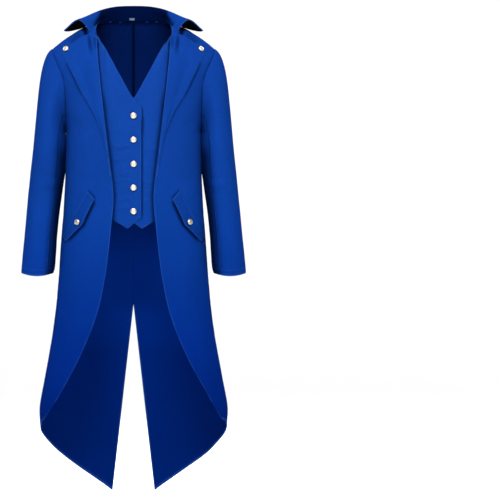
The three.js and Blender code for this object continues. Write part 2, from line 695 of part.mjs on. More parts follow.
for (const [word, side] of [
  ["left", 1],
  ["right", -1],
]) {
  add(`back_${word}`, bodyPanel("back", backPlace, side), materials.coat);
  add(`front_${word}`, bodyPanel("front", frontPlace, side), materials.coat);
  add(`vest_${word}`, vestPanel(side), materials.vest);
  add(`lapel_${word}`, lapel(side), materials.coat);
  add(`pocket_flap_${word}`, flap(side), materials.trim);
  add(`sleeve_upper_${word}`, sleevePanel(side, HINDARM_SEAM, FOREARM_SEAM, 12), materials.coat);
  add(`sleeve_under_${word}`, sleevePanel(side, FOREARM_SEAM, HINDARM_SEAM, 8), materials.coat);

  const lapelAt = lapelFace(LAPEL_BUTTON.x, LAPEL_BUTTON.z, 1, -LAPEL_BUTTON.sink);
  button(`button_lapel_${word}`, mirrored(lapelAt, side), BIG_BUTTON);

  const { x, z } = FLAP.button;
  const flapOut = FLAP_GAP + FLAP_CLOTH + flapStandOff(0.75);
  button(`button_flap_${word}`, mirrored(bodyPoint("front", x, z, flapOut), side), BIG_BUTTON);

  const beltAt = bodyPoint("back", BELT.buttonX, BELT.z, beltOut(BELT.buttonX, 0));
  button(`button_belt_${word}`, mirrored(beltAt, side), BIG_BUTTON);

  CUFF_BUTTONS_UP.forEach((up, k) => {
    const level = CUFF_Z + up - CUFF_DIP;
    const length = 1 + (level - BICEP_Z) / (CUFF_Z - BICEP_Z);
    const turn = CUFF_BUTTON_FROM_SEAM / sleeveLevel.halfWidth(level);
    const angle = radians(lerp(HINDARM_SEAM.armhole, HINDARM_SEAM.cuff, length - 1)) + turn;
    const face = { point: sleevePoint(angle, length), normal: sleeveNormal(angle, length) };
    button(`button_cuff_${word}_${k + 1}`, mirrored(face, side), CUFF_BUTTON);
  });
}

VEST_BUTTON_Z.forEach((z, k) => {
  button(`button_vest_${k + 1}`, bodyPoint("front", 0, z, -COAT_CLOTH - SEAM_GAP), BIG_BUTTON);
});

add("half_belt", halfBelt(), materials.trim);

const COLLAR_COLUMNS = steps(-1, 1, 24);
const COLLAR_ROWS = [0, 0.12, 0.24, 0.34, 0.42, 0.5, 0.6, 0.72, 0.86, 1];
add("collar", collarLayer(COLLAR_COLUMNS, COLLAR_ROWS, 0, COLLAR_CLOTH), materials.coat);
const underRows = [...COLLAR_ROWS.filter((row) => row >= UNDER_LEAF_FROM && row < 1), UNDER_LEAF_TO];
const underColumns = COLLAR_COLUMNS.map((s) => clamp(s, -UNDER_LEAF_TO, UNDER_LEAF_TO));
const underOut = -COLLAR_CLOTH - 1.5 * SEAM_GAP;
const underLeaf = collarLayer(underColumns, underRows, underOut, UNDER_LEAF_CLOTH);
add("collar_under_leaf", underLeaf, materials.underLeaf);

// A plain woven tab at the back of the neck.
const sPerX = COLLAR_STATIONS[1].s / COLLAR_STATIONS[1].roll[0];
const tabFrom = (LABEL.centreX - LABEL.width / 2) * sPerX;
const tabColumns = steps(tabFrom, tabFrom + LABEL.width * sPerX, 2);
add(
  "neck_label",
  collarLayer(tabColumns, [LABEL.from, LABEL.to], 2 * SEAM_GAP + LABEL_CLOTH, LABEL_CLOTH),
  materials.label,
);

export default coat;
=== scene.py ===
"""Dresses the tailcoat: soft cloth with creases, seams and topstitching over each cut piece, domed metal
buttons, a felt under-collar and a plain neck tab, on a pale studio floor. Metres, +Z up, front to -Y."""

import json
import math

import bmesh
import bpy
import numpy as np
from mathutils import Matrix, Vector
from mathutils.bvhtree import BVHTree
from mathutils.kdtree import KDTree

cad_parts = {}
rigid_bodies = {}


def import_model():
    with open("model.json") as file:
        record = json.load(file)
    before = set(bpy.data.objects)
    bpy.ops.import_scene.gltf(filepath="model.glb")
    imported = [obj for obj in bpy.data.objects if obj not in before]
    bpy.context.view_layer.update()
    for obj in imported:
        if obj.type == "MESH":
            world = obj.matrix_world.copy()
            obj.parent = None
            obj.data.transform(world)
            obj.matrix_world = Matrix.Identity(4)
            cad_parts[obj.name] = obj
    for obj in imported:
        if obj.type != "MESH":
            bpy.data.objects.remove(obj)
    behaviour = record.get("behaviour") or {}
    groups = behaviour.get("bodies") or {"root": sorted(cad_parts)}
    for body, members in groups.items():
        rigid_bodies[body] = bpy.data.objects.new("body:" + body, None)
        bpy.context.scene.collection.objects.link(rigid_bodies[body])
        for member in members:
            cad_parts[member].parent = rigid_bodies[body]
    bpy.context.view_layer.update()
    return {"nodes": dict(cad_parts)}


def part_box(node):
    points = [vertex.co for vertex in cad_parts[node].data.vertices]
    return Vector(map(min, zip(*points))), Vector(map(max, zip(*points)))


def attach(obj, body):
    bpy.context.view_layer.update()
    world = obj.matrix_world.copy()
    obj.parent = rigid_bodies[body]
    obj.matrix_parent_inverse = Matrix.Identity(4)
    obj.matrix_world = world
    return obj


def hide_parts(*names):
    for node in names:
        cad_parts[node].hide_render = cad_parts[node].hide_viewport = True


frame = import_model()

bl_info = {
    "name": "Tailcoat",
    "version": (1, 0, 0),
    "blender": (4, 5, 0),
    "location": "View3D > Sidebar > Tailcoat",
    "description": "Dresses the tailcoat's solids in cloth, stitching and metal buttons",
    "category": "Object",
}

MM = 0.001
SIDES = {"left": 1, "right": -1}

# Edges stay sharp, end a piece of cloth, or part two of its panels, from these angles.
SHARP = math.radians(50)
RIM = math.radians(45)
PANEL = math.radians(40)

# The body's rough ellipse, from which cloth is pushed out or in, and the height where its shoulders round.
BODY_WIDE = 0.20
BODY_DEEP = 0.125
SHOULDER_Z = -0.15
SHOULDER_RISE = 0.17

# The left sleeve's axis, by height.
SLEEVE_Z = [-0.668, -0.544, -0.412, -0.313, -0.2, -0.05]
SLEEVE_X = [0.263, 0.253, 0.239, 0.231, 0.215, 0.19]
SLEEVE_Y = [-0.028, -0.004, 0.006, 0.002, 0.0, 0.0]
SLEEVE_WIDE = 0.045
SLEEVE_DEEP = 0.06

# Creases on the body's front, -1, and back, 1: the x and z that each runs through, its width and its height, in
# mm. A trough has a height below nought.
BODY_CREASES = {
    -1: [
        ([(-66, -318), (-34, -326), (-4, -325)], 5, 1.6),
        ([(-56, -340), (-28, -336), (-4, -330)], 5, -1.4),
        ([(-58, -424), (-28, -414), (-3, -419)], 4.5, 2.0),
        ([(-48, -404), (-24, -408), (-5, -412)], 4.5, -1.8),
        ([(-50, -476), (-22, -466), (4, -468)], 4.5, 2.0),
        ([(-46, -456), (-26, -452), (-6, -458)], 5, -1.5),
        ([(-44, -498), (-24, -488), (-2, -492)], 5, 1.4),
        ([(-62, -366), (-40, -358), (-16, -362)], 5.5, 1.3),
        ([(-70, -286), (-44, -280), (-12, -284)], 6, 1.1),
        ([(30, -380), (44, -374), (60, -380)], 5, 1.2),
        ([(28, -476), (40, -470), (52, -478)], 5, 1.4),
        ([(-48, -388), (-18, -378), (-4, -376)], 5, 1.4),
        ([(24, -424), (40, -421), (56, -428)], 4.5, 2.0),
        ([(26, -338), (42, -330), (62, -336)], 5, 1.3),
        ([(-117, -4), (-114, -38), (-108, -70)], 4, 3.2),
        ([(-128, -12), (-126, -44), (-118, -84)], 5, -2.6),
        ([(-108, -14), (-105, -40), (-102, -60)], 3.4, -2.0),
        ([(116, -4), (114, -42), (109, -72)], 4, 3.0),
        ([(128, -14), (127, -50), (120, -88)], 5, -2.5),
        ([(108, -16), (105, -42), (101, -58)], 3.4, -1.9),
        ([(-178, -232), (-160, -262), (-132, -282)], 13, -1.8),
        ([(180, -226), (160, -258), (128, -276)], 13, -1.8),
        ([(-172, -398), (-140, -412), (-96, -410)], 15, -1.6),
        ([(174, -404), (144, -414), (100, -418)], 15, -1.6),
        ([(-176, -442), (-150, -450), (-120, -446)], 12, 1.3),
        ([(178, -448), (152, -452), (126, -450)], 12, 1.3),
        ([(-120, -560), (-142, -700), (-168, -860)], 34, 3.2),
        ([(118, -560), (138, -690), (160, -850)], 34, 3.0),
        ([(-180, -640), (-204, -800), (-226, -960)], 26, -3.0),
        ([(182, -630), (206, -790), (230, -950)], 26, -2.8),
    ],
    1: [
        ([(-2, 20), (-3, 2), (-3, -16)], 4, 1.3),
        ([(-14, 22), (-20, 4), (-24, -12)], 4, 1.6),
        ([(12, 22), (17, 4), (21, -13)], 4, 1.6),
        ([(-29, 23), (-39, 6), (-46, -6)], 4.5, 1.4),
        ([(28, 23), (37, 7), (43, -5)], 4.5, 1.3),
        ([(-8, 22), (-12, 4), (-14, -10)], 3.5, -1.1),
        ([(8, 22), (10, 4), (12, -10)], 3.5, -1.1),
        ([(-196, -150), (-168, -190), (-128, -214)], 17, -1.9),
        ([(198, -146), (166, -192), (122, -212)], 17, -1.9),
        ([(-176, -392), (-140, -404), (-112, -402)], 14, -1.6),
        ([(178, -396), (146, -402), (112, -404)], 14, -1.6),
        ([(-40, -438), (-50, -490), (-58, -560)], 15, 2.0),
        ([(34, -438), (40, -488), (46, -552)], 15, 1.8),
        ([(-14, -440), (-18, -486), (-20, -540)], 12, -1.5),
        ([(-66, -600), (-92, -780), (-124, -1000)], 38, 4.0),
        ([(62, -600), (86, -770), (118, -980)], 38, 3.6),
        ([(-128, -640), (-160, -820), (-190, -1010)], 32, -3.4),
        ([(126, -650), (158, -830), (192, -1020)], 32, -3.6),
    ],
}

# Creases on a sleeve: the degrees round it and the z that each runs through, its width and its height. 0 is
# outside and 90 in front.
SLEEVE_CREASES = [
    ([(52, -398), (96, -410), (146, -398)], 9, -1.6),
    ([(60, -420), (104, -428), (150, -418)], 8, 1.5),
    ([(66, -446), (108, -446), (152, -440)], 9, -1.3),
    ([(128, -330), (138, -372), (144, -420)], 10, 1.2),
    ([(20, -300), (56, -330), (96, -372)], 15, 1.3),
    ([(30, -470), (62, -520), (70, -590)], 13, 1.0),
    ([(-60, -420), (-96, -436), (-140, -428)], 14, 1.2),
    ([(-48, -330), (-80, -352), (-128, -350)], 13, -1.2),
    ([(-150, -320), (-140, -380), (-146, -430)], 11, -1.1),
]

# How far the sleeve's inner side hangs out against the coat's side, by height, in mm.
BESIDE_Z = [-674, -664, -654, -640, -600, -555, -500, -440, -412, -385, -340, -310, -292, -284]
BESIDE_OUT = [-2.6, -0.4, 1.8, 2.5, 2.2, 1.1, 0.0, 0.8, 2.2, 4.6, 4.6, 4.2, 3.0, 0.0]

# How far the body's side hangs out against the sleeve, by height, in mm.
SIDE_Z = [-820, -700, -600, -510, -470, -424, -380, -330, -300, -288, -280]
SIDE_OUT = [0.0, 0.6, 1.0, 0.4, 1.4, 1.8, 2.2, 2.4, 2.4, 1.4, 0.0]

# Creases fade in and out over this share of their length.
CREASE_FADE = 0.3
# Creases no wider than this, in mm, get finer faces, out to the reach and down to the edge length given as
# shares of their width.
NARROW = 7
REFINE_ROUNDS = 2
REFINE_REACH = 2.2
REFINE_EDGE = 0.45

# Shade beside what overlaps the cloth: the pieces it lies on, left and right alike unless one is named, the x
# and z that it runs through, its width, all in mm, and its depth from 0 to 1. It may have a fade of its own,
# lie on the cloth's inside or outside only, and start at its full depth.
NECK_SEAM = [(0, 27), (36, 27), (66, 26), (87, 23)]
SHADES = [
    ("vest_left", [(1, -196), (22.8, -224), (23.0, -516), (6, -535)], 3.4, 0.68, {}),
    ("vest_left", [(23, -226), (25.5, -256), (24, -310)], 4.0, 0.6, {"fade": 0.3}),
    ("vest", [(101, -14), (100, -30), (91, -129), (78, -247)], 3.0, 0.75, {}),
    ("vest", [(86, -160), (76, -247), (64, -346), (52, -456), (55, -521), (60, -570)], 6.0, 0.65, {}),
    ("front", [(102, -466), (136, -538), (182, -585)], 4.5, 0.9, {}),
    ("front", [(182, -585), (193, -568)], 4.0, 0.7, {}),
    ("front", [(124, -442), (103, -465)], 3.0, 0.5, {}),
    ("front", [(184, -92), (165, -130), (137, -188)], 6.0, 0.35, {}),
    ("front", [(139, 10), (134, -3), (128, -18)], 7.5, 1.0, {}),
    ("front lapel", [(124, -6), (120, -36), (112, -78)], 6.0, 0.5, {"fade": 0.45}),
    ("front lapel", [(108, -8), (106, -34), (102, -66)], 3.8, 0.4, {"fade": 0.45}),
    ("front", [(137, -10), (156, -24), (178, -42)], 6.5, 0.35, {"fade": 0.3}),
    ("collar", [(82, 50), (96, 32), (109, 10)], 6.5, 0.85, {"inside": True}),
    ("collar back", [(0, 24.6), (40, 24.6), (66, 25)], 2.2, 0.8, {"starts": 1}),
    ("back", [(0, -436), (40, -436), (60, -435)], 3.2, 0.95, {"starts": 1}),
    ("back", [(50, -435), (86, -434), (103, -412), (86, -389.5)], 3.0, 0.75, {}),
    ("back", [(0, -389.5), (85, -389.5), (100, -400)], 2.4, 0.5, {"starts": 1}),
    ("back", [(0, 20), (0, -300), (0, -420)], 3.6, 0.95, {"inside": True, "starts": 1}),
    ("back", [*NECK_SEAM, (110, 5)], 6.0, 0.95, {"inside": True, "starts": 1}),
    ("back", [*NECK_SEAM, (110, 5)], 2.6, 0.7, {"inside": False, "starts": 1}),
    ("collar", [*NECK_SEAM, (98, 20), (107, 8)], 5.0, 0.9, {"inside": True, "starts": 1}),
]
# These shades fade in and out over this share of their length, where a row gives no other.
SHADE_FADE = 0.12

# The shade of the collar's leaf behind: the nodes it falls on, the neck's y and the lowest z that it reaches,
# how far it is looked for along rays of these slopes, the strips in which its edge is found, its depth, and in
# mm where under the edge it starts to fade and over how much.
UNDER_LEAF = ["collar", "back_left", "back_right"]
NECK_Y = 0.03
LEAF_SHADE_LOWEST = -0.06
LEAF_REACH = 0.07
STEEP_RAYS = [-1.6, -0.9, -0.5, -0.2]
LEAF_RAYS = [0.0, 0.1, 0.2, 0.3, 0.4, 0.5, 0.6, 0.8, 1.0, 1.4, 2.0]
LEAF_STRIPS = np.arange(0, 0.16, 0.015)
LEAF_SHADE = 0.96
LEAF_SHADE_FROM = 5
LEAF_SHADE_OVER = 9

# The shade round a button, a little below it.
BUTTONS = sorted(name for name in frame["nodes"] if name.startswith("button_"))
BUTTON_SHADE = 0.85
BUTTON_SHADE_DOWN = 0.0012
BUTTON_SHADE_OUT = 0.0028

# The shade on a sleeve's inner side: its depth, how far in it starts and over how much it deepens, in front and
# behind, as shares of the sleeve's half width, the height above which it is half as deep in front, and the
# height at which it ends behind.
SLEEVE_SHADE = 0.86
SLEEVE_SHADE_FRONT = 0.28, 0.6
SLEEVE_SHADE_BEHIND = 0.72, 0.25
SLEEVE_SHADE_HALF = -0.305
SLEEVE_SHADE_END = -0.46

# The fronts' side edges are laid on the backs' below this height.
SIDE_SEAM_TOP = -0.285

# The waistcoat's neck edge by height, and how far it is drawn outwards, in mm.
NECK_EDGE_Z = [-195, -86, -46, -25, -12, 10]
NECK_EDGE_X = [0, 63, 87, 95, 96.5, 96.5]
NECK_MOVE_Z = [-130, -86, -46, -25, -17, 0]
NECK_MOVE = [0, -2.6, -3.6, 1.7, 6.5, 9.5]
NECK_MOVE_FADE = 14
NECK_MOVE_REACH = 40

# The cloth pieces' cuts: slot, how the cloth is held, the flat cut and its area in metres, from the pattern,
# then in mm the wall and how far the edges dip, and how often the piece is divided.
CUTS = {
    "back": ("coat_cloth", "hung", (0.36, 1.35), 0.325, 2.0, 0.6, 3),
    "front": ("coat_cloth", "hung", (0.30, 1.14), 0.175, 2.0, 0.6, 3),
    "vest": ("waistcoat_cloth", "stretched", (0.21, 0.58), 0.062, 1.5, 0.6, 3),
    "lapel": ("coat_cloth", "folded", (0.12, 0.40), 0.018, 1.8, 0.6, 3),
    "sleeve_upper": ("coat_cloth", "hung", (0.23, 0.66), 0.117, 1.8, 0.6, 3),
    "sleeve_under": ("coat_cloth", "hung", (0.15, 0.52), 0.057, 1.8, 0.6, 3),
    "collar": ("coat_cloth", "folded", (0.62, 0.15), 0.05, 2.4, 0.0, 3),
    "collar_under_leaf": ("under_collar_cloth", "folded", (0.62, 0.06), 0.028, 1.2, 0.0, 2),
    "pocket_flap": ("coat_cloth", "laid", (0.15, 0.045), 0.0045, 1.8, 0.6, 4),
    "half_belt": ("coat_cloth", "laid", (0.21, 0.042), 0.0078, 2.0, 0.6, 4),
    "neck_label": ("label_cloth", "laid", (0.014, 0.0105), None, 0.7, 0.0, 2),
}


def cut_of(node):
    """The cut that a node shares with its other side."""
    return node.removesuffix("_left").removesuffix("_right")


def smooth(x):
    """The smooth step from 0 to 1."""
    x = np.clip(x, 0.0, 1.0)
    return x * x * (3 - 2 * x)


def colour_property(name, description, default):
    return bpy.props.FloatVectorProperty(
        name=name, description=description, subtype="COLOR", size=3, min=0, max=1, default=default,
    )


def length_property(name, description, low, high, default):
    return bpy.props.FloatProperty(
        name=name, description=description, unit="LENGTH", min=low, max=high, default=default,
    )


class TailcoatCloth(bpy.types.PropertyGroup):
    """The cloth's colours and hand."""

    coat: colour_property("Coat colour", "The coat's outer cloth", (0.0024, 0.0222, 0.144))
    vest: colour_property("Waistcoat colour", "The waistcoat's cloth", (0.0030, 0.0245, 0.150))
    lining: colour_property("Inside colour", "The cloth's inside", (0.0006, 0.0082, 0.082))
    felt: colour_property("Under-collar colour", "The felt under the collar", (0.0022, 0.0024, 0.0036))
    # The tab is white tape, darkened to this blue-grey as painted shade inside the neck.
    tape: colour_property("Tab colour", "The neck tab's tape", (0.09, 0.1, 0.125))
    twill: length_property("Twill pitch", "Distance between the twill's ribs", 0.0003, 0.005, 0.0011)
    creases: bpy.props.FloatProperty(
        name="Creases", description="How deep the creases are, 1 as made", subtype="FACTOR",
        min=0, max=2, default=1,
    )


class TailcoatSewing(bpy.types.PropertyGroup):
    """Stitch sizes."""

    length: length_property("Stitch", "Length of one topstitch", 0.001, 0.01, 0.0032)
    gap: length_property("Gap", "Space between topstitches", 0.0002, 0.005, 0.0009)
    thread: length_property("Thread", "Thickness of the thread", 0.0002, 0.002, 0.0005)
    colour: colour_property("Thread colour", "The sewing thread", (0.0008, 0.014, 0.10))


class TailcoatButtons(bpy.types.PropertyGroup):
    """The metal buttons."""

    metal: colour_property("Metal", "The plating's colour", (0.66, 0.56, 0.36))
    rim: length_property("Rim", "Height of the rim over the groove", 0, 0.001, 0.0004)


def settings():
    scene = bpy.context.scene
    return scene.tailcoat_cloth, scene.tailcoat_sewing, scene.tailcoat_buttons


# ---- cloth geometry


def merged_solid(name):
    """A node's solid with its vertices merged."""
    bm = bmesh.new()
    bm.from_mesh(frame["nodes"][name].data)
    bmesh.ops.remove_doubles(bm, verts=bm.verts, dist=1e-6)
    return bm


def node_bmesh(name):
    """A node's solid with its triangles paired back into panels."""
    bm = merged_solid(name)
    longest = {f: max(f.edges, key=lambda e: e.calc_length()) for f in bm.faces}
    diagonals = [
        e for e in bm.edges
        if len(e.link_faces) == 2 and all(longest[f] is e for f in e.link_faces)
        and e.calc_face_angle(0) < PANEL
    ]
    bmesh.ops.dissolve_edges(bm, edges=diagonals, use_verts=False, use_face_split=False)
    return bm


def rim_faces(bm, wall):
    """The narrow faces that close a wall round its edge."""
    return [f for f in bm.faces if f.calc_area() / max(e.calc_length() for e in f.edges) < 1.3 * wall]


# How far each edge of a piece is moved out towards its seam.
SEAM_CLOSED = 0.17 * MM


def close_seams(bm, wall):
    """Moves the edges of a piece out, so that no light shows through its seams."""
    shift = {}
    for face in rim_faces(bm, wall):
        for v in face.verts:
            shift.setdefault(v, []).append(face.normal.copy())
    for v, normals in shift.items():
        v.co += sum(normals, Vector()).normalized() * SEAM_CLOSED


# How often a cage is fitted to its vertices, and the height of the slit's top, which stays a corner.
FIT_ROUNDS = 4
SLIT_TOP = -0.757


def smoothed(bm, name, levels):
    """A mesh of the bmesh, subdivided smoothly through its vertices with its sharp edges held."""
    crease = bm.edges.layers.float.get("crease_edge") or bm.edges.layers.float.new("crease_edge")
    for e in bm.edges:
        if len(e.link_faces) == 2 and e.calc_face_angle(0) > SHARP:
            e[crease] = 1.0
    corner = bm.verts.layers.float.get("crease_vert") or bm.verts.layers.float.new("crease_vert")
    for v in bm.verts:
        if abs(v.co.x) < MM and abs(v.co.z - SLIT_TOP) < 2 * MM:
            v[corner] = 1.0
    mesh = bpy.data.meshes.new(name)
    bm.to_mesh(mesh)
    bm.free()
    holder = bpy.data.objects.new(name, mesh)
    bpy.context.scene.collection.objects.link(holder)
    sub = holder.modifiers.new("Smooth", "SUBSURF")
    sub.levels = sub.render_levels = 1
    wanted = coordinates(mesh)
    cage = wanted.copy()
    for _ in range(FIT_ROUNDS):
        cage += wanted - coordinates(evaluated(holder))[: len(wanted)]
        write_coordinates(mesh, cage)
    sub.levels = sub.render_levels = levels
    made = bpy.data.meshes.new_from_object(evaluated(holder))
    bpy.data.objects.remove(holder)
    bpy.data.meshes.remove(mesh)
    return made


def evaluated(holder):
    """The object as its modifiers leave it."""
    return holder.evaluated_get(bpy.context.evaluated_depsgraph_get())


def coordinates(source):
    """The vertex coordinates of a mesh or an evaluated object."""
    mesh = getattr(source, "data", source)
    co = np.empty(len(mesh.vertices) * 3)
    mesh.vertices.foreach_get("co", co)
    return co.reshape(-1, 3)


def vertex_normals(mesh):
    normals = np.empty(len(mesh.vertices) * 3)
    mesh.vertices.foreach_get("normal", normals)
    return normals.reshape(-1, 3)


def face_normals(mesh):
    normals = np.empty(len(mesh.polygons) * 3)
    mesh.polygons.foreach_get("normal", normals)
    return normals.reshape(-1, 3)


def write_attribute(mesh, name, values, domain="POINT"):
    """Writes one number for every vertex or face, for the materials to read."""
    layer = mesh.attributes.get(name) or mesh.attributes.new(name, "FLOAT", domain)
    layer.data.foreach_set("value", np.asarray(values, np.float32))


def write_coordinates(mesh, co):
    mesh.vertices.foreach_set("co", co.astype(np.float32).ravel())
    mesh.update()


def along_path(points, path):
    """Each point's distance from a path, and how far along it the nearest place is, from 0 to 1."""
    path = np.array(path, float)
    lengths = np.linalg.norm(np.diff(path, axis=0), axis=1)
    starts = np.concatenate([[0], np.cumsum(lengths)])
    best = np.full(len(points), np.inf)
    where = np.zeros(len(points))
    for i, length in enumerate(lengths):
        step = (path[i + 1] - path[i]) / length
        t = np.clip((points - path[i]) @ step, 0, length)
        away = np.linalg.norm(points - path[i] - t[:, None] * step, axis=1)
        nearer = away < best
        best[nearer] = away[nearer]
        where[nearer] = (starts[i] + t[nearer]) / starts[-1]
    return best, where


def crease_height(points, rows):
    """The height of all the creases at points on a flat pattern, in the rows' own millimetres."""
    total = np.zeros(len(points))
    for path, width, height in rows:
        away, where = along_path(points, path)
        ends = smooth(where / CREASE_FADE) * smooth((1 - where) / CREASE_FADE)
        total += height * ends * np.exp(-((away / width) ** 2))
    return total


def refine(mesh):
    """Divides the body's faces that narrow creases run over, so that each has a few faces across it."""
    bm = bmesh.new()
    bm.from_mesh(mesh)
    narrow = [(side, *row) for side, rows in BODY_CREASES.items() for row in rows if row[1] <= NARROW]
    for _ in range(REFINE_ROUNDS):
        middles = np.array([f.calc_center_median() for f in bm.faces])
        finest = np.full(len(middles), np.inf)
        for side, path, width, _ in narrow:
            away, _ = along_path(middles[:, [0, 2]] / MM, path)
            here = (np.sign(middles[:, 1]) == side) & (away < REFINE_REACH * width)
            finest[here] = np.minimum(finest[here], width)
        edges = set()
        for face, width in zip(bm.faces, finest):
            if width <= NARROW:
                edges.update(e for e in face.edges if e.calc_length() > REFINE_EDGE * width * MM)
        if edges:
            bmesh.ops.subdivide_edges(bm, edges=list(edges), cuts=1, use_grid_fill=True)
    bm.to_mesh(mesh)
    bm.free()


def shade_of(node, co, outer):
    """How deep in shade each place of a node lies, beside what overlaps it and round its buttons."""
    flat = np.stack([np.abs(co[:, 0]), co[:, 2]], axis=1) / MM
    shade = np.zeros(len(co))
    for on, path, width, depth, more in SHADES:
        if cut_of(node) in on.split() or node in on.split():
            away, where = along_path(flat, path)
            fade = more.get("fade", SHADE_FADE)
            ends = smooth(where / fade + more.get("starts", 0)) * smooth((1 - where) / fade)
            depth = depth * ends * np.exp(-((away / width) ** 2))
            if "inside" in more:
                depth = depth * ((outer < 0) == more["inside"])
            shade = np.maximum(shade, depth)
    for name in BUTTONS:
        low, high = (np.array(corner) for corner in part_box(name))
        middle = (low + high) / 2 - [0, 0, BUTTON_SHADE_DOWN]
        beyond = np.linalg.norm(co - middle, axis=1) - (high - low).max() / 2
        shade = np.maximum(shade, BUTTON_SHADE * (1 - smooth(beyond / BUTTON_SHADE_OUT)))
    return shade


def under_leaf(co, normals, outer):
    """How deep each place lies in the shade of the collar's overhanging leaf."""
    with_leaf = merged_solid("collar_under_leaf")
    tree = BVHTree.FromBMesh(with_leaf)
    hanging = sorted((abs(v.co.x), v.co.z) for v in with_leaf.verts if v.co.y > NECK_Y)
    with_leaf.free()
    wide = LEAF_STRIPS[1] - LEAF_STRIPS[0]
    strips = [[(z, x) for x, z in hanging if start <= x < start + wide] for start in LEAF_STRIPS]
    lowest, across = zip(*(min(strip) for strip in strips if strip))
    shade = np.zeros(len(co))
    behind = co[:, 1] > NECK_Y
    for i in np.nonzero(behind & (co[:, 2] > LEAF_SHADE_LOWEST) & (outer > -0.2))[0]:
        away = Vector((co[i, 0], co[i, 1] - NECK_Y, 0)).normalized()
        start = Vector(co[i]) + away * 1.5 * MM
        for rise in LEAF_RAYS if normals[i, 2] > 0.3 else STEEP_RAYS + LEAF_RAYS:
            hit = tree.ray_cast(start, (away + Vector((0, 0, rise))).normalized(), LEAF_REACH)
            if hit[0] is not None:
                below = (np.interp(abs(co[i, 0]), across, lowest) - co[i, 2]) / MM
                shade[i] = LEAF_SHADE * float(1 - smooth((below - LEAF_SHADE_FROM) / LEAF_SHADE_OVER))
                break
    return shade


def sleeve_shade(co):
    """The sleeve's inner side lies in the body's shade, more widely in front than behind."""
    _, x, y = sleeve_place(co)
    inward = -x / SLEEVE_WIDE
    front = smooth(0.5 - y / 0.02)
    before, behind = (
        smooth((inward - start) / over) for start, over in (SLEEVE_SHADE_FRONT, SLEEVE_SHADE_BEHIND)
    )
    before *= 0.5 + 0.5 * smooth((SLEEVE_SHADE_HALF - co[:, 2]) / 0.05)
    behind *= smooth((co[:, 2] - SLEEVE_SHADE_END) / 0.06)
    return SLEEVE_SHADE * (front * before + (1 - front) * behind)


def dots(a, b):
    """The dot products of two rows of vectors."""
    return np.einsum("ij,ij->i", a, b)


def on_both_sides(*pairs):
    return [tuple(name.format(side) for name in pair) for side in SIDES for pair in pairs]


# Which nodes are sewn to which, with the ones that hold another's edge still.
SEWN = [("back_left", "back_right")] + on_both_sides(
    ("front_{}", "back_{}"), ("sleeve_upper_{}", "sleeve_under_{}"), ("front_{}", "vest_{}"),
)
SET_IN = on_both_sides(
    ("sleeve_upper_{}", "front_{}"), ("sleeve_upper_{}", "back_{}"), ("sleeve_under_{}", "front_{}"),
    ("sleeve_under_{}", "back_{}"), ("collar", "back_{}"), ("collar", "front_{}"), ("collar", "lapel_{}"),
)


def tree_of(points):
    tree = KDTree(len(points))
    for i, co in enumerate(points):
        tree.insert(co, i)
    tree.balance()
    return tree


def seam_points(first, second, reach):
    """Places 2 mm apart along the edges of one node that lie within reach of another."""
    with_second = merged_solid(second)
    tree = BVHTree.FromBMesh(with_second)
    with_second.free()
    bm = merged_solid(first)
    found = []
    for e in bm.edges:
        a, b = (v.co for v in e.verts)
        if e.calc_face_angle(0) < SHARP or any(tree.find_nearest(p)[3] > reach for p in (a, b)):
            continue
        count = max(int(e.calc_length() / (2 * MM)), 1)
        found += [a.lerp(b, k / count) for k in range(count + 1)]
    bm.free()
    return found


def seam_trees():
    """For every node the places of its seams, and for the whole coat those that hold its cloth still."""
    of_node = {}
    holding = []
    for pairs, reach in ((SEWN, 0.8 * MM), (SET_IN, 3.5 * MM)):
        for first, second in pairs:
            found = seam_points(first, second, reach)
            if pairs is SET_IN:
                holding += found
            for name in (first, second):
                of_node.setdefault(name, []).extend(found)
    return {name: tree_of(points) for name, points in of_node.items() if points}, tree_of(holding)


SEAMS, HOLDING = seam_trees()


# No armhole or neck seam lies below this height.
HOLDING_LOWEST = -0.36


def from_holding(co, reach):
    """0 at an armhole or the neck seam and 1 beyond the reach."""
    out = np.ones(len(co))
    for i in np.nonzero(co[:, 2] > HOLDING_LOWEST)[0]:
        out[i] = HOLDING.find(co[i])[2] / reach
    return smooth(out)


def body_out(co):
    """The level direction away from the body's middle, tilted up over the shoulders."""
    up = np.maximum(co[:, 2] - SHOULDER_Z, 0) / SHOULDER_RISE**2
    d = np.stack([co[:, 0] / BODY_WIDE**2, co[:, 1] / BODY_DEEP**2, up], axis=1)
    return d / np.linalg.norm(d, axis=1, keepdims=True)


def sleeve_place(co):
    """The side of each place, and how far out and back it is from its sleeve's axis."""
    side = np.sign(co[:, 0])
    x = np.abs(co[:, 0]) - np.interp(co[:, 2], SLEEVE_Z, SLEEVE_X)
    y = co[:, 1] - np.interp(co[:, 2], SLEEVE_Z, SLEEVE_Y)
    return side, x, y


def sleeve_out(co):
    side, x, y = sleeve_place(co)
    d = np.stack([side * x / SLEEVE_WIDE**2, y / SLEEVE_DEEP**2, np.zeros(len(co))], axis=1)
    return d / np.maximum(np.linalg.norm(d, axis=1, keepdims=True), 1e-9)


def uneven(co, seed):
    """A slow, uneven wave over the cloth, from -1 to 1."""
    x, y, z = (co / 0.1).T
    wave = np.sin(1.9 * z + 1.3 * x + seed) + np.sin(2.7 * x - 1.1 * z + 2.1 * seed)
    return (wave + np.sin(1.4 * y + 3.1 * z - seed) + np.sin(0.7 * x + 0.9 * z + 1.7 * y + 3 * seed)) / 4


# The flutes in the tails: the height they start at, over how much they deepen and their depth in mm, then the
# depth in mm of the slow and the quicker waves in all the cloth.
FLUTES_TOP, FLUTES_OVER, FLUTES = -0.62, 0.5, 1.6
SLOW_WAVES, QUICK_WAVES = 0.8, 0.3
QUICKER = 3.7


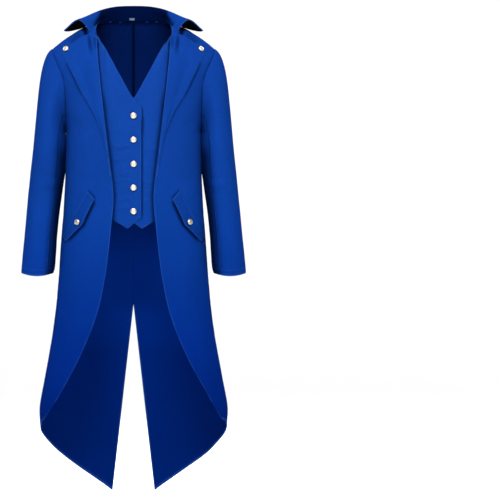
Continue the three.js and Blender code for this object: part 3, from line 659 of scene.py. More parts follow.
def body_height(co):
    """How far the body's cloth stands out at each place."""
    face = np.where(co[:, 1] < 0, -1, 1)
    flat = co[:, [0, 2]] / MM
    height = np.zeros(len(co))
    for side in (-1, 1):
        here = face == side
        height[here] = crease_height(flat[here], BODY_CREASES[side])
    angle = np.arctan2(co[:, 1] / BODY_DEEP, co[:, 0] / BODY_WIDE)
    low = smooth((FLUTES_TOP - co[:, 2]) / FLUTES_OVER)
    flute = FLUTES * low * (np.sin(9 * angle + 0.6) + 0.6 * np.sin(14 * angle - 2.2))
    slow = SLOW_WAVES * uneven(co, 1.0) + QUICK_WAVES * uneven(QUICKER * co, 5.0)
    return (height + slow + flute) * MM * from_holding(co, 0.012) + side_height(co)


def side_height(co):
    """How far the body's side stands out beside the sleeve and below it."""
    beside = 1 - smooth((np.abs(co[:, 1]) - 0.03) / 0.06)
    return beside * np.interp(co[:, 2] / MM, SIDE_Z, SIDE_OUT) * MM


def sleeve_height(co):
    _, x, y = sleeve_place(co)
    degrees = np.degrees(np.arctan2(-y / SLEEVE_DEEP, x / SLEEVE_WIDE))
    flat = np.stack([degrees, co[:, 2] / MM], axis=1)
    other = flat + [[360, 0]]
    height = crease_height(flat, SLEEVE_CREASES) + crease_height(other, SLEEVE_CREASES)
    inner = 1 - 0.7 * smooth((np.abs(degrees) - 120) / 30) * smooth((co[:, 2] + 0.42) / 0.06)
    held = from_holding(co, 0.03)
    beside = smooth((np.abs(degrees) - 125) / 35) * np.interp(co[:, 2] / MM, BESIDE_Z, BESIDE_OUT)
    slow = 0.6 * uneven(co, 2.3) + 0.25 * uneven(QUICKER * co, 4.0)
    return (height + slow * inner) * MM * held * inner + beside * MM * from_holding(co, 0.01)


def nearest(tree, co):
    """How far each place is from the tree's nearest point."""
    return np.array([tree.find(point)[2] for point in co])


# How widely the cloth turns in at its folds and seams, the share of it that its inner face takes, the pucker
# beside a seam with its three wavelengths, and the groove along topstitches.
FOLD_WIDE = 2.6 * MM
SEAM_WIDE = 4.5 * MM
INNER_DIP = 0.15
PUCKER = 0.4 * MM
PUCKER_FROM, PUCKER_TO = 1.5 * MM, 5 * MM
PUCKER_WAVES = 1.7 * MM, 5.3 * MM, 6.1 * MM
GROOVE = 0.45 * MM
GROOVE_WIDE = 1.1 * MM


def soften_edges(mesh, out, node, dip, stitched):
    """Turns the cloth in along its edges, as folds and seams do, and puckers it a little beside them."""
    bm = bmesh.new()
    bm.from_mesh(mesh)
    sharp = [v.co.copy() for e in bm.edges if e.calc_face_angle(0) > RIM for v in e.verts]
    bm.normal_update()
    normals = np.array([v.normal for v in bm.verts])
    bm.free()
    co = coordinates(mesh)
    outer = np.sign(dots(normals, out))
    away = nearest(tree_of(sharp), co)
    sewn = nearest(SEAMS[node], co) if node in SEAMS else np.ones(len(co))
    short, long, slant = PUCKER_WAVES
    pucker = np.sin(co[:, 2] / short) * np.sin(co[:, 2] / long + co[:, 0] / slant)
    beside = np.exp(-((sewn / PUCKER_TO) ** 2)) * (1 - np.exp(-((sewn / PUCKER_FROM) ** 2)))
    pulled = dip * np.where(outer > 0, 1.0, -INNER_DIP)
    height = -pulled * (1 - smooth(away / FOLD_WIDE)) + PUCKER * pucker * beside
    height -= pulled * (1 - smooth(sewn / SEAM_WIDE))
    if stitched:
        height -= np.maximum(outer, 0) * GROOVE * np.exp(-(((away - stitched) / GROOVE_WIDE) ** 2))
    write_coordinates(mesh, co + out * height[:, None])
    return away, sewn


# The materials' marks: how far a face must turn inwards to be inside, how far from a seam an edge gets no
# painted highlight, how wide that painted highlight and the seams' dark line are, and where the inside's
# seams are hidden.
INSIDE_FACING = -0.3
HIGHLIGHT_CLEAR_OF_SEAM = 1.5 * MM
HIGHLIGHT_FULL_WIDTH = 0.6 * MM
HIGHLIGHT_FADE = 1.6 * MM
SEAM_DARK = 1.7 * MM
HIDDEN_SEAM_TOP = -0.4


def mark_cloth(mesh, out, away, sewn, shade):
    """Attributes for the materials: the inside's faces, the painted edge highlight, the seams and the painted
    shade.
    """
    first = np.array([p.vertices[0] for p in mesh.polygons])
    write_attribute(mesh, "inside", dots(face_normals(mesh), out[first]) < INSIDE_FACING, "FACE")
    # A painted highlight along the cloth's edges, kept clear of its seams.
    free = smooth((sewn - HIGHLIGHT_CLEAR_OF_SEAM) / (2 * HIGHLIGHT_CLEAR_OF_SEAM))
    write_attribute(mesh, "edge", (1 - smooth((away - HIGHLIGHT_FULL_WIDTH) / HIGHLIGHT_FADE)) * free)
    low = smooth((HIDDEN_SEAM_TOP - coordinates(mesh)[:, 2]) / 0.1)
    hidden = (dots(vertex_normals(mesh), out) < 0) * low
    write_attribute(mesh, "seam", np.exp(-((sewn / SEAM_DARK) ** 2)) * (1 - hidden))
    write_attribute(mesh, "shade", shade)


def lay_grain(mesh, flat):
    """A UV map in metres along and across the cloth's grain."""
    loops = np.empty(len(mesh.loops), int)
    mesh.loops.foreach_get("vertex_index", loops)
    uv = mesh.uv_layers.new(name="grain")
    uv.data.foreach_set("uv", flat[loops].astype(np.float32).ravel())


def body_grain(co):
    angle = np.arctan2(co[:, 0] / BODY_WIDE, np.abs(co[:, 1]) / BODY_DEEP + 0.05)
    return np.stack([angle * 0.17, co[:, 2]], axis=1)


def sleeve_grain(co):
    _, x, y = sleeve_place(co)
    return np.stack([np.arctan2(y / SLEEVE_DEEP, x / SLEEVE_WIDE) * 0.055, co[:, 2]], axis=1)


def turned(profile, steps, apart):
    """A closed bmesh turned about Z from a profile of radii and heights."""
    bm = bmesh.new()
    verts = [bm.verts.new((r, 0, z)) for r, z in profile]
    edges = [bm.edges.new(pair) for pair in zip(verts, verts[1:])]
    bmesh.ops.spin(bm, geom=verts + edges, cent=(0, 0, 0), axis=(0, 0, 1), angle=2 * math.pi, steps=steps,
                   use_merge=True)
    bmesh.ops.remove_doubles(bm, verts=bm.verts, dist=apart)
    bmesh.ops.recalc_face_normals(bm, faces=bm.faces)
    return bm


def finish_piece(mesh, name, material, slot, *nodes):
    """The object of a finished mesh, riding on the part in place of its nodes."""
    mesh.materials.clear()
    mesh.materials.append(material)
    mesh.shade_smooth()
    mesh.set_sharp_from_angle(angle=SHARP)
    piece = bpy.data.objects.new(name, mesh)
    bpy.context.scene.collection.objects.link(piece)
    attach(piece, "root")
    if nodes:
        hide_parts(*nodes)
    return piece


def cloth_piece(node, material, out, height, grain, stitched=None):
    """Dresses one cloth node: closed at its seams, smoothed, creased and softened along its edges."""
    slot, held, flat, area, wall, dip, levels = CUTS[cut_of(node)]
    creases = settings()[0].creases
    bm = node_bmesh(node)
    close_seams(bm, wall * MM)
    mesh = smoothed(bm, f"cloth_{node}", levels)
    if out is body_out:
        refine(mesh)
    co = coordinates(mesh)
    directions = out(co)
    outer = dots(vertex_normals(mesh), directions)
    shade = sleeve_shade(co) if out is sleeve_out else np.zeros(len(co))
    if node in UNDER_LEAF:
        level = np.stack([co[:, 0], co[:, 1] - NECK_Y, np.zeros(len(co))], axis=1)
        level /= np.maximum(np.linalg.norm(level, axis=1, keepdims=True), 1e-9)
        normals = vertex_normals(mesh)
        from_neck = dots(normals, level)
        shade = np.maximum(shade, under_leaf(co, normals, from_neck))
        outer = from_neck if node == "collar" else outer
    shade = np.maximum(shade, shade_of(node, co, outer))
    if height is not None:
        co = co + directions * (height(co) * creases)[:, None]
        write_coordinates(mesh, co)
    away, sewn = soften_edges(mesh, directions, node, dip * MM, stitched)
    mark_cloth(mesh, directions, away, sewn, shade)
    lay_grain(mesh, grain(coordinates(mesh)))
    piece = finish_piece(mesh, f"cloth_{node}", material, slot, node)
    return piece


# ---- sewing

# Where the cloth is looked for from a stitch's place, and how high a stitch stands against its thread.
STITCH_START = 0.02
STITCH_REACH = 0.05
STITCH_FLAT = 0.42


def surface_of(piece):
    bm = bmesh.new()
    bm.from_mesh(piece.data)
    tree = BVHTree.FromBMesh(bm)
    bm.free()
    return tree


def resampled(points, step):
    """Places a step apart along a path of points."""
    points = np.array([tuple(p) for p in points])
    lengths = np.concatenate([[0], np.cumsum(np.linalg.norm(np.diff(points, axis=0), axis=1))])
    count = max(int(lengths[-1] / step), 1)
    at = np.linspace(0, lengths[-1], count + 1)
    return [Vector([np.interp(t, lengths, points[:, k]) for k in range(3)]) for t in at]


def stitches(name, cloth, path, look):
    """Topstitches along a path, each a bead of thread sunk into the cloth that the look direction meets."""
    sewing = settings()[1]
    tree = surface_of(cloth)
    bm = bmesh.new()
    places = resampled(path, sewing.length + sewing.gap)
    for a, b in zip(places, places[1:]):
        middle = (a + b) / 2
        out = look(middle)
        hit = tree.ray_cast(middle + out * STITCH_START, -out, STITCH_REACH)
        if hit[0] is None:
            continue
        normal = hit[1] if hit[1].dot(out) > 0 else -hit[1]
        along = (b - a) - normal * (b - a).dot(normal)
        if along.length < 1e-6:
            continue
        along.normalize()
        turn = Matrix((along, normal.cross(along), normal)).transposed().to_4x4()
        bead = bmesh.ops.create_icosphere(bm, subdivisions=1, radius=1)
        size = Matrix.Diagonal((sewing.length / 2, sewing.thread / 2, sewing.thread * STITCH_FLAT, 1))
        bmesh.ops.transform(bm, matrix=Matrix.Translation(hit[0]) @ turn @ size, verts=bead["verts"])
    mesh = bpy.data.meshes.new(name)
    bm.to_mesh(mesh)
    bm.free()
    return finish_piece(mesh, name, thread_material(), "coat_cloth")


# ---- materials


def new_group(name, inputs, outputs):
    """A node group with its sockets, given as name, kind and default, and its input and output nodes."""
    group = bpy.data.node_groups.new(name, "ShaderNodeTree")
    for way, sockets in (("INPUT", inputs), ("OUTPUT", outputs)):
        for title, kind, *default in sockets:
            socket = group.interface.new_socket(name=title, in_out=way, socket_type=f"NodeSocket{kind}")
            if default:
                socket.default_value = default[0]
    return group, group.nodes.new("NodeGroupInput"), group.nodes.new("NodeGroupOutput")


def math_node(tree, operation, *values):
    node = tree.nodes.new("ShaderNodeMath")
    node.operation = operation
    for value, socket in zip(values, node.inputs):
        if isinstance(value, (int, float)):
            socket.default_value = value
        else:
            tree.links.new(value, socket)
    return node.outputs[0]


def scaled(tree, value, by, plus=0.0):
    """A value times a number, plus another value or number."""
    return math_node(tree, "MULTIPLY_ADD", value, by, plus)


def mix_colour(tree, factor, a, b):
    node = tree.nodes.new("ShaderNodeMix")
    node.data_type = "RGBA"
    for socket, value in ((node.inputs[0], factor), (node.inputs[6], a), (node.inputs[7], b)):
        if isinstance(value, (int, float, tuple)):
            socket.default_value = value
        else:
            tree.links.new(value, socket)
    return node.outputs[2]


def noise_node(tree, vector, scale, detail, roughness=0.5):
    node = tree.nodes.new("ShaderNodeTexNoise")
    node.inputs["Scale"].default_value = scale
    node.inputs["Detail"].default_value = detail
    node.inputs["Roughness"].default_value = roughness
    tree.links.new(vector, node.inputs["Vector"])
    return node.outputs["Fac"]


def twill_group():
    """Slanted ribs with finer threads across them, uneven as spun yarn is."""
    if "Twill" in bpy.data.node_groups:
        return bpy.data.node_groups["Twill"]
    group, start, end = new_group(
        "Twill", [("Grain", "Vector"), ("Pitch", "Float", 0.001), ("Slant", "Float", 0.6)],
        [("Height", "Float"), ("Rib", "Float")],
    )
    split = group.nodes.new("ShaderNodeSeparateXYZ")
    group.links.new(start.outputs["Grain"], split.inputs[0])
    across, up = split.outputs[0], split.outputs[1]
    wobble = noise_node(group, start.outputs["Grain"], 420, 2)
    slanted = scaled(group, up, start.outputs["Slant"], across)
    turns = math_node(group, "DIVIDE", slanted, start.outputs["Pitch"])
    rib = math_node(group, "SINE", scaled(group, scaled(group, wobble, 0.5, turns), 2 * math.pi))
    fine = math_node(group, "DIVIDE", math_node(group, "SUBTRACT", up, across), start.outputs["Pitch"])
    thread = math_node(group, "SINE", scaled(group, fine, 5.1))
    group.links.new(scaled(group, thread, 0.12, scaled(group, rib, 0.34, 0.5)), end.inputs["Height"])
    group.links.new(scaled(group, rib, 0.5, 0.5), end.inputs["Rib"])
    return group


# The middle of the dye's three noises together.
DYE_MIDDLE = 0.675


def uneven_dye_group():
    """A dyed colour that is a little lighter and darker in patches and along the yarn."""
    if "Uneven dye" in bpy.data.node_groups:
        return bpy.data.node_groups["Uneven dye"]
    group, start, end = new_group(
        "Uneven dye", [("Place", "Vector"), ("Colour", "Color"), ("Amount", "Float", 0.1)],
        [("Colour", "Color"), ("Patch", "Float")],
    )
    broad = noise_node(group, start.outputs["Place"], 5.5, 3)
    close = noise_node(group, start.outputs["Place"], 90, 4, 0.6)
    fleck = noise_node(group, start.outputs["Place"], 260, 2, 0.5)
    both = scaled(group, broad, 0.5, scaled(group, close, 0.4, scaled(group, fleck, 0.45)))
    swing = math_node(group, "SUBTRACT", both, DYE_MIDDLE)
    bright = group.nodes.new("ShaderNodeHueSaturation")
    group.links.new(scaled(group, swing, start.outputs["Amount"], 1.0), bright.inputs["Value"])
    group.links.new(start.outputs["Colour"], bright.inputs["Color"])
    group.links.new(bright.outputs[0], end.inputs["Colour"])
    group.links.new(both, end.inputs["Patch"])
    return group


def plain_material(name):
    material = bpy.data.materials.new(name)
    material.use_nodes = True
    tree = material.node_tree
    tree.nodes.clear()
    shader = tree.nodes.new("ShaderNodeBsdfPrincipled")
    output = tree.nodes.new("ShaderNodeOutputMaterial")
    tree.links.new(shader.outputs[0], output.inputs[0])
    return material, tree, shader


def attribute(tree, name):
    node = tree.nodes.new("ShaderNodeAttribute")
    node.attribute_name = name
    return node.outputs["Fac"]


def bump(tree, shader, height, strength, distance):
    node = tree.nodes.new("ShaderNodeBump")
    node.inputs["Strength"].default_value = strength
    node.inputs["Distance"].default_value = distance
    tree.links.new(height, node.inputs["Height"])
    tree.links.new(node.outputs[0], shader.inputs["Normal"])


# Painted light and shade by height, outside in front, outside behind and inside, against the cloth's own colour.
FRONT_PAINTED_LIGHT = [
    (-1.08, (0.10, 0.32, 0.56)), (-0.85, (0.22, 0.58, 0.86)), (-0.50, (0.82, 1.02, 1.05)),
    (-0.20, (1.05, 1.07, 1.07)),
]
BACK_PAINTED_LIGHT = [
    (-1.05, (0.8, 0.97, 1.04)), (-0.85, (0.73, 0.9, 1.0)), (-0.65, (1.0, 1.08, 1.04)),
    (-0.49, (1.2, 1.2, 1.04)), (-0.22, (1.6, 1.36, 1.04)), (-0.1, (1.25, 1.12, 1.0)), (-0.02, (0.8, 0.96, 0.97)),
]
INSIDE_PAINTED_LIGHT = [
    (-1.15, (0.2, 0.88, 0.87)), (-0.90, (0.3, 1.2, 1.25)), (-0.62, (1.0, 3.4, 3.2)), (-0.45, (1.0, 2.4, 2.2)),
    (-0.30, (1.0, 1.0, 0.9)), (-0.05, (1.0, 0.88, 0.7)),
]
# The height of the lowest painted tone and the depth over which the front's painted light changes to the back's.
LOWEST = -1.3
BACK_FROM, BACK_FULL = -0.03, 0.05

# The cloth's look: its painted edge highlight, its dark seams, its painted shade and the painted shade in
# its twill's valleys, and how it takes the light.
EDGE_HIGHLIGHT = (0.012, 0.05, 0.21, 1)
EDGE_HIGHLIGHT_SHARE = 0.7
SEAM_TONE = 0.22
SEAM_SHARE = 0.6
SHADE_TONE = 0.04
VALLEY_PAINTED_SHADE = 0.16
ROUGH = 0.67
ROUGH_SWING = 0.16
SHEEN = 0.008
SHEEN_TINT = (0.1, 0.3, 1.0, 1)
TWILL_DEPTH = 0.00018


def times(colour, by):
    """A colour made darker or lighter, with its alpha."""
    return (*(by * c for c in colour), 1)


def toned(tree, height, colour, tones):
    """A colour with painted light and shade that change with height."""
    place = tree.nodes.new("ShaderNodeMapRange")
    place.inputs["From Min"].default_value = LOWEST
    place.inputs["From Max"].default_value = 0.0
    tree.links.new(height, place.inputs["Value"])
    ramp = tree.nodes.new("ShaderNodeValToRGB")
    for i, (z, tone) in enumerate(tones):
        at = 1 - z / LOWEST
        element = ramp.color_ramp.elements[i] if i < 2 else ramp.color_ramp.elements.new(at)
        element.position = at
        element.color = (*(a * b for a, b in zip(colour, tone)), 1)
    tree.links.new(place.outputs["Result"], ramp.inputs["Fac"])
    return ramp.outputs["Color"]


def cloth_material(name, colour, inside, pitch=None, dye=0.5):
    """Dyed twill with painted light by height in front, behind and inside, dark seams and painted edge
    highlights.
    """
    if name in bpy.data.materials:
        return bpy.data.materials[name]
    material, tree, shader = plain_material(name)
    place = tree.nodes.new("ShaderNodeTexCoord").outputs["Object"]
    grain = tree.nodes.new("ShaderNodeUVMap")
    grain.uv_map = "grain"
    twill = tree.nodes.new("ShaderNodeGroup")
    twill.node_tree = twill_group()
    twill.inputs["Pitch"].default_value = pitch or settings()[0].twill
    tree.links.new(grain.outputs[0], twill.inputs["Grain"])
    dyed = tree.nodes.new("ShaderNodeGroup")
    dyed.node_tree = uneven_dye_group()
    dyed.inputs["Amount"].default_value = dye
    tree.links.new(place, dyed.inputs["Place"])
    height = tree.nodes.new("ShaderNodeSeparateXYZ")
    tree.links.new(place, height.inputs[0])
    behind = tree.nodes.new("ShaderNodeMapRange")
    behind.interpolation_type = "SMOOTHSTEP"
    behind.inputs["From Min"].default_value = BACK_FROM
    behind.inputs["From Max"].default_value = BACK_FULL
    tree.links.new(height.outputs[1], behind.inputs["Value"])
    # Painted light and shade by height, outside in front and behind.
    before = toned(tree, height.outputs[2], colour, FRONT_PAINTED_LIGHT)
    after = toned(tree, height.outputs[2], colour, BACK_PAINTED_LIGHT)
    outside = mix_colour(tree, behind.outputs["Result"], before, after)
    # Painted light and shade by height on the inside.
    within = toned(tree, height.outputs[2], inside, INSIDE_PAINTED_LIGHT)
    tree.links.new(mix_colour(tree, attribute(tree, "inside"), outside, within), dyed.inputs["Colour"])
    # Painted shade in the twill's valleys: the colour darkens towards black there.
    valley_shade = scaled(tree, twill.outputs["Rib"], -VALLEY_PAINTED_SHADE, VALLEY_PAINTED_SHADE)
    ribbed = mix_colour(tree, valley_shade, dyed.outputs["Colour"], (0.0, 0.0, 0.0, 1))
    # Painted highlight along the edges, uneven with the dye's patches.
    highlit = math_node(tree, "MULTIPLY", attribute(tree, "edge"), dyed.outputs["Patch"])
    edged = mix_colour(tree, scaled(tree, highlit, EDGE_HIGHLIGHT_SHARE), ribbed, EDGE_HIGHLIGHT)
    pressed = scaled(tree, attribute(tree, "seam"), SEAM_SHARE)
    sewn = mix_colour(tree, pressed, edged, times(colour, SEAM_TONE))
    shaded = mix_colour(tree, attribute(tree, "shade"), sewn, times(colour, SHADE_TONE))
    tree.links.new(shaded, shader.inputs["Base Color"])
    tree.links.new(scaled(tree, dyed.outputs["Patch"], ROUGH_SWING, ROUGH), shader.inputs["Roughness"])
    shader.inputs["Sheen Weight"].default_value = SHEEN
    shader.inputs["Sheen Roughness"].default_value = 0.42
    shader.inputs["Sheen Tint"].default_value = SHEEN_TINT
    shader.inputs["Specular IOR Level"].default_value = 0.0
    bump(tree, shader, twill.outputs["Height"], 0.55, TWILL_DEPTH)
    return material


def felt_material(name, colour):
    """Pressed felt: fine fibres with no grain."""
    if name in bpy.data.materials:
        return bpy.data.materials[name]
    material, tree, shader = plain_material(name)
    place = tree.nodes.new("ShaderNodeTexCoord").outputs["Object"]
    fuzz = noise_node(tree, place, 900, 4, 0.7)
    clump = noise_node(tree, place, 120, 3, 0.6)
    fibres = math_node(tree, "MULTIPLY", fuzz, clump)
    mixed = mix_colour(tree, fibres, times(colour, 1), times(colour, 2.6))
    tree.links.new(mixed, shader.inputs["Base Color"])
    tree.links.new(scaled(tree, clump, 0.15, 0.8), shader.inputs["Roughness"])
    shader.inputs["Specular IOR Level"].default_value = 0.0
    bump(tree, shader, fuzz, 0.5, 0.0004)
    return material


# The buttons: their tarnished groove and painted shade underneath, how dulled the hard-used ones are, the
# painted highlight on their rims and the steps round them.
TARNISH_AND_SHADE = (0.045, 0.045, 0.045, 1)
DULLED = {"flap": 0.45, "cuff": 0.42, "belt": 0.38}
RIM_HIGHLIGHT = (0.62, 0.60, 0.56, 1)
BUTTON_STEPS = 40


def metal_material(name, colour):
    """Pale gold plating brushed by handling, duller in its groove; painted shade below, painted rim highlight.
    """
    if name in bpy.data.materials:
        return bpy.data.materials[name]
    material, tree, shader = plain_material(name)
    place = tree.nodes.new("ShaderNodeTexCoord").outputs["Object"]
    smear = noise_node(tree, place, 260, 4, 0.65)
    dust = noise_node(tree, place, 900, 3)
    handled = mix_colour(tree, scaled(tree, smear, 0.7), times(colour, 1), times(colour, 0.7))
    # Painted highlight, growing towards the rim.
    handled = mix_colour(tree, attribute(tree, "rim"), handled, RIM_HIGHLIGHT)
    # The tarnished groove, and painted shade on the button's underside.
    handled = mix_colour(tree, attribute(tree, "tarnish_and_shade"), handled, TARNISH_AND_SHADE)
    tree.links.new(handled, shader.inputs["Base Color"])
    tree.links.new(scaled(tree, smear, 0.22, 0.24), shader.inputs["Roughness"])
    shader.inputs["Metallic"].default_value = 1.0
    bump(tree, shader, dust, 0.12, 0.00012)
    return material


# The collar's, flaps' and half belt's cloth against the coat's, outside and inside, where the darker tone is
# painted shade on the collar's stand.
TRIM_TONE = 0.93
TRIM_INSIDE_PAINTED_SHADE = 0.34


def coat_cloth():
    cloth = settings()[0]
    return cloth_material("royal blue coat twill", cloth.coat, cloth.lining)


def trim_cloth():
    cloth = settings()[0]
    # Its inside is darker still, as painted shade on the collar's stand.
    return cloth_material("royal blue trim twill", times(cloth.coat, TRIM_TONE)[:3],
                          times(cloth.lining, TRIM_INSIDE_PAINTED_SHADE)[:3])


def vest_cloth():
    cloth = settings()[0]
    return cloth_material("royal blue waistcoat twill", cloth.vest, cloth.lining)


def thread_material():
    name = "sewing thread"
    if name in bpy.data.materials:
        return bpy.data.materials[name]
    material, tree, shader = plain_material(name)
    place = tree.nodes.new("ShaderNodeTexCoord").outputs["Object"]
    twist = noise_node(tree, place, 1500, 2)
    colour = settings()[1].colour
    mixed = mix_colour(tree, twist, times(colour, 1), times(colour, 1.5))
    tree.links.new(mixed, shader.inputs["Base Color"])
    shader.inputs["Roughness"].default_value = 0.5
    return material


# ---- operators


class OBJECT_OT_tailcoat_backs(bpy.types.Operator):
    """Dress the two backs, with gathers under the neck seam and soft flutes in the tails"""

    bl_idname = "object.tailcoat_backs"
    bl_label = "Backs"

    def execute(self, context):
        for side in SIDES:
            cloth_piece(f"back_{side}", coat_cloth(), body_out, body_height, body_grain)
        return {"FINISHED"}


# The side seam lies this near to y nought, and the front moves with it as far as this from it.
SEAM_NEAR = 0.3 * MM
SEAM_MOVES = 0.03


def side_edge(mesh, way):
    """The outer line of a piece's edge at the side seam, as heights and how far out it is there."""
    co = coordinates(mesh)
    outer = vertex_normals(mesh)[:, 0] * way > 0.3
    line = co[outer & (np.abs(co[:, 1]) < SEAM_NEAR) & (co[:, 2] < SIDE_SEAM_TOP)]
    line = line[np.argsort(line[:, 2])]
    return line[:, 2], line[:, 0]


def meet_back(piece, side):
    """Moves the front's side edge onto the back's, since their smoothed curves part by up to 1 mm."""
    z, x = side_edge(piece.data, SIDES[side])
    back_z, back_x = side_edge(bpy.data.objects[f"cloth_back_{side}"].data, SIDES[side])
    co = coordinates(piece.data)
    apart = np.interp(co[:, 2], back_z, back_x) - np.interp(co[:, 2], z, x)
    below = smooth((SIDE_SEAM_TOP - 0.02 - co[:, 2]) / SEAM_MOVES)
    near = (co[:, 0] * SIDES[side] > 0.1) * (1 - smooth(np.abs(co[:, 1]) / SEAM_MOVES))
    co[:, 0] += apart * below * near
    write_coordinates(piece.data, co)


class OBJECT_OT_tailcoat_fronts(bpy.types.Operator):
    """Dress the two cutaway fronts"""

    bl_idname = "object.tailcoat_fronts"
    bl_label = "Fronts"

    def execute(self, context):
        for side in SIDES:
            piece = cloth_piece(f"front_{side}", coat_cloth(), body_out, body_height, body_grain)
            meet_back(piece, side)
        return {"FINISHED"}


def follow_neck(piece):
    """Draws the waistcoat's neck edge out above and in below, to one straight slant."""
    co = coordinates(piece.data)
    x, z = np.abs(co[:, 0]) / MM, co[:, 2] / MM
    edge = np.interp(z, NECK_EDGE_Z, NECK_EDGE_X)
    near = np.exp(-((np.maximum(x - edge, 0) / NECK_MOVE_FADE) ** 2)) * (x < edge + NECK_MOVE_REACH)
    co[:, 0] += np.sign(co[:, 0]) * np.interp(z, NECK_MOVE_Z, NECK_MOVE) * near * MM
    write_coordinates(piece.data, co)


class OBJECT_OT_tailcoat_waistcoat(bpy.types.Operator):
    """Dress the mock waistcoat's fronts, with the pulls at its buttons"""

    bl_idname = "object.tailcoat_waistcoat"
    bl_label = "Waistcoat"

    def execute(self, context):
        for side in SIDES:
            piece = cloth_piece(f"vest_{side}", vest_cloth(), body_out, body_height, body_grain)
            follow_neck(piece)
        return {"FINISHED"}


# The lapel's outer edge by height, in mm, and how far it springs off.
LAPEL_EDGE_Z = [-360, -296, -234, -184, -126, -88, -60]
LAPEL_EDGE_X = [70, 83, 106, 135, 163, 182, 195]
LAPEL_SPRING = 3.4 * MM


def lapel_height(co):
    """The lapel follows the front, and its outer edge springs off it below the button."""
    x = np.abs(co[:, 0]) / MM
    z = co[:, 2] / MM
    edge = np.interp(z, LAPEL_EDGE_Z, LAPEL_EDGE_X)
    near = smooth((x - edge + 26) / 26)
    below = smooth((-78 - z) / 40) * smooth((z + 330) / 120)
    return body_height(co) + LAPEL_SPRING * near * below


class OBJECT_OT_tailcoat_lapels(bpy.types.Operator):
    """Dress the lapels, buttoned back to the shoulders, and roll their folded edge"""

    bl_idname = "object.tailcoat_lapels"
    bl_label = "Lapels"

    def execute(self, context):
        for side in SIDES:
            cloth_piece(f"lapel_{side}", coat_cloth(), body_out, lapel_height, body_grain)
        return {"FINISHED"}


class OBJECT_OT_tailcoat_sleeves(bpy.types.Operator):
    """Dress the two-piece sleeves, creased inside the elbow"""

    bl_idname = "object.tailcoat_sleeves"
    bl_label = "Sleeves"

    def execute(self, context):
        for kind in ("upper", "under"):
            for side in SIDES:
                cloth_piece(f"sleeve_{kind}_{side}", coat_cloth(), sleeve_out, sleeve_height, sleeve_grain)
        return {"FINISHED"}


def collar_out(co):
    """Straight up: the collar's leaf lies nearly level."""
    return np.tile([0.0, 0.0, 1.0], (len(co), 1))


def collar_grain(co):
    round_neck = np.arctan2(co[:, 0], co[:, 1] + 0.12) * 0.12
    return np.stack([round_neck, co[:, 2] + 0.6 * np.abs(co[:, 1])], axis=1)


def sew_down(piece, reach, fade):
    """Moves a piece's edge where it lies near the finished body onto it, and what is beside it a little."""
    trees = [
        surface_of(bpy.data.objects[f"cloth_{kind}_{side}"])
        for kind in ("back", "front", "lapel") for side in SIDES
    ]
    bm = bmesh.new()
    bm.from_mesh(piece.data)
    rim = {v for e in bm.edges if e.calc_face_angle(0) > RIM for v in e.verts}
    places, moves = [], []
    for v in rim:
        hits = [hit for hit in (tree.find_nearest(v.co, reach) for tree in trees) if hit[0] is not None]
        if hits:
            place = min(hits, key=lambda hit: hit[3])[0]
            step = place - v.co
            places.append(v.co.copy())
            moves.append(step + step.normalized() * 0.4 * MM)
    tree = tree_of(places)
    for v in bm.verts:
        _, i, away = tree.find(v.co)
        if away < fade:
            v.co += moves[i] * float(1 - smooth(away / fade))
    bm.to_mesh(piece.data)
    bm.free()


# The stand's painted shade: the most that its underside's normals point up, the height under which it lies,
# and how far out the leaf's fold, with its painted shade, ends and over how much.
UNDERSIDE = -0.5
STAND_TOP = 0.03
FOLD_END, FOLD_OVER = 0.088, 0.012


def shade_stand(mesh):
    """Painted shade on the stand's neck side and the leaf's fold over it, out to where the fold ends."""
    co = coordinates(mesh)
    normals = face_normals(mesh)
    middle = np.array([co[list(p.vertices)].mean(axis=0) for p in mesh.polygons])
    to_neck = -middle * [1, 1, 0]
    to_neck /= np.linalg.norm(to_neck, axis=1, keepdims=True)
    facing = smooth((dots(normals, to_neck) + 0.1) / 0.3)
    facing = np.maximum(facing, (normals[:, 2] < UNDERSIDE) & (middle[:, 2] < STAND_TOP))
    side = 1 - smooth((np.abs(middle[:, 0]) - FOLD_END) / FOLD_OVER)
    # Painted shade: these faces take the collar's darker inside colour.
    write_attribute(mesh, "inside", facing * side)


class OBJECT_OT_tailcoat_collar(bpy.types.Operator):
    """Dress the wing collar, sewn to the neck, and the felt on its underside"""

    bl_idname = "object.tailcoat_collar"
    bl_label = "Collar"

    def execute(self, context):
        felt = felt_material("black under-collar felt", settings()[0].felt)
        leaf = cloth_piece("collar", trim_cloth(), collar_out, None, collar_grain)
        sew_down(leaf, 6 * MM, 14 * MM)
        shade_stand(leaf.data)
        cloth_piece("collar_under_leaf", felt, collar_out, None, collar_grain)
        return {"FINISHED"}


# The flap's and the half belt's outlines, x and z in mm, the flap's button and how far round it the flap is
# drawn down, how far the flap springs off the coat and how far from its seam it does so fully.
FLAP_OUTLINE = [(124, -445), (105, -467), (139, -537), (183, -581), (190, -567)]
FLAP_BUTTON = (151, -529)
FLAP_DRAWN = 15
FLAP_SPRING = 3.2
FLAP_FREE = 42
BELT_OUTLINE = [(-101.5, -412), (-85, -391.6), (85, -391.6), (101.5, -412), (85, -432.4), (-85, -432.4)]
TOPSTITCH_IN = 5.0
CUFF_HEM_UP = 16.0


def flap_height(co):
    """The flap's free side springs off the coat, and its button draws it down."""
    x = np.abs(co[:, 0]) / MM
    z = co[:, 2] / MM
    top, end = np.array(FLAP_OUTLINE[0], float), np.array(FLAP_OUTLINE[-1], float)
    along = (end - top) / np.linalg.norm(end - top)
    off = np.abs((x - top[0]) * along[1] - (z - top[1]) * along[0])
    from_button = np.hypot(x - FLAP_BUTTON[0], z - FLAP_BUTTON[1])
    lift = FLAP_SPRING * smooth(off / FLAP_FREE) * (1 - 0.9 * np.exp(-((from_button / FLAP_DRAWN) ** 2)))
    return body_height(co) + lift * MM * settings()[0].creases


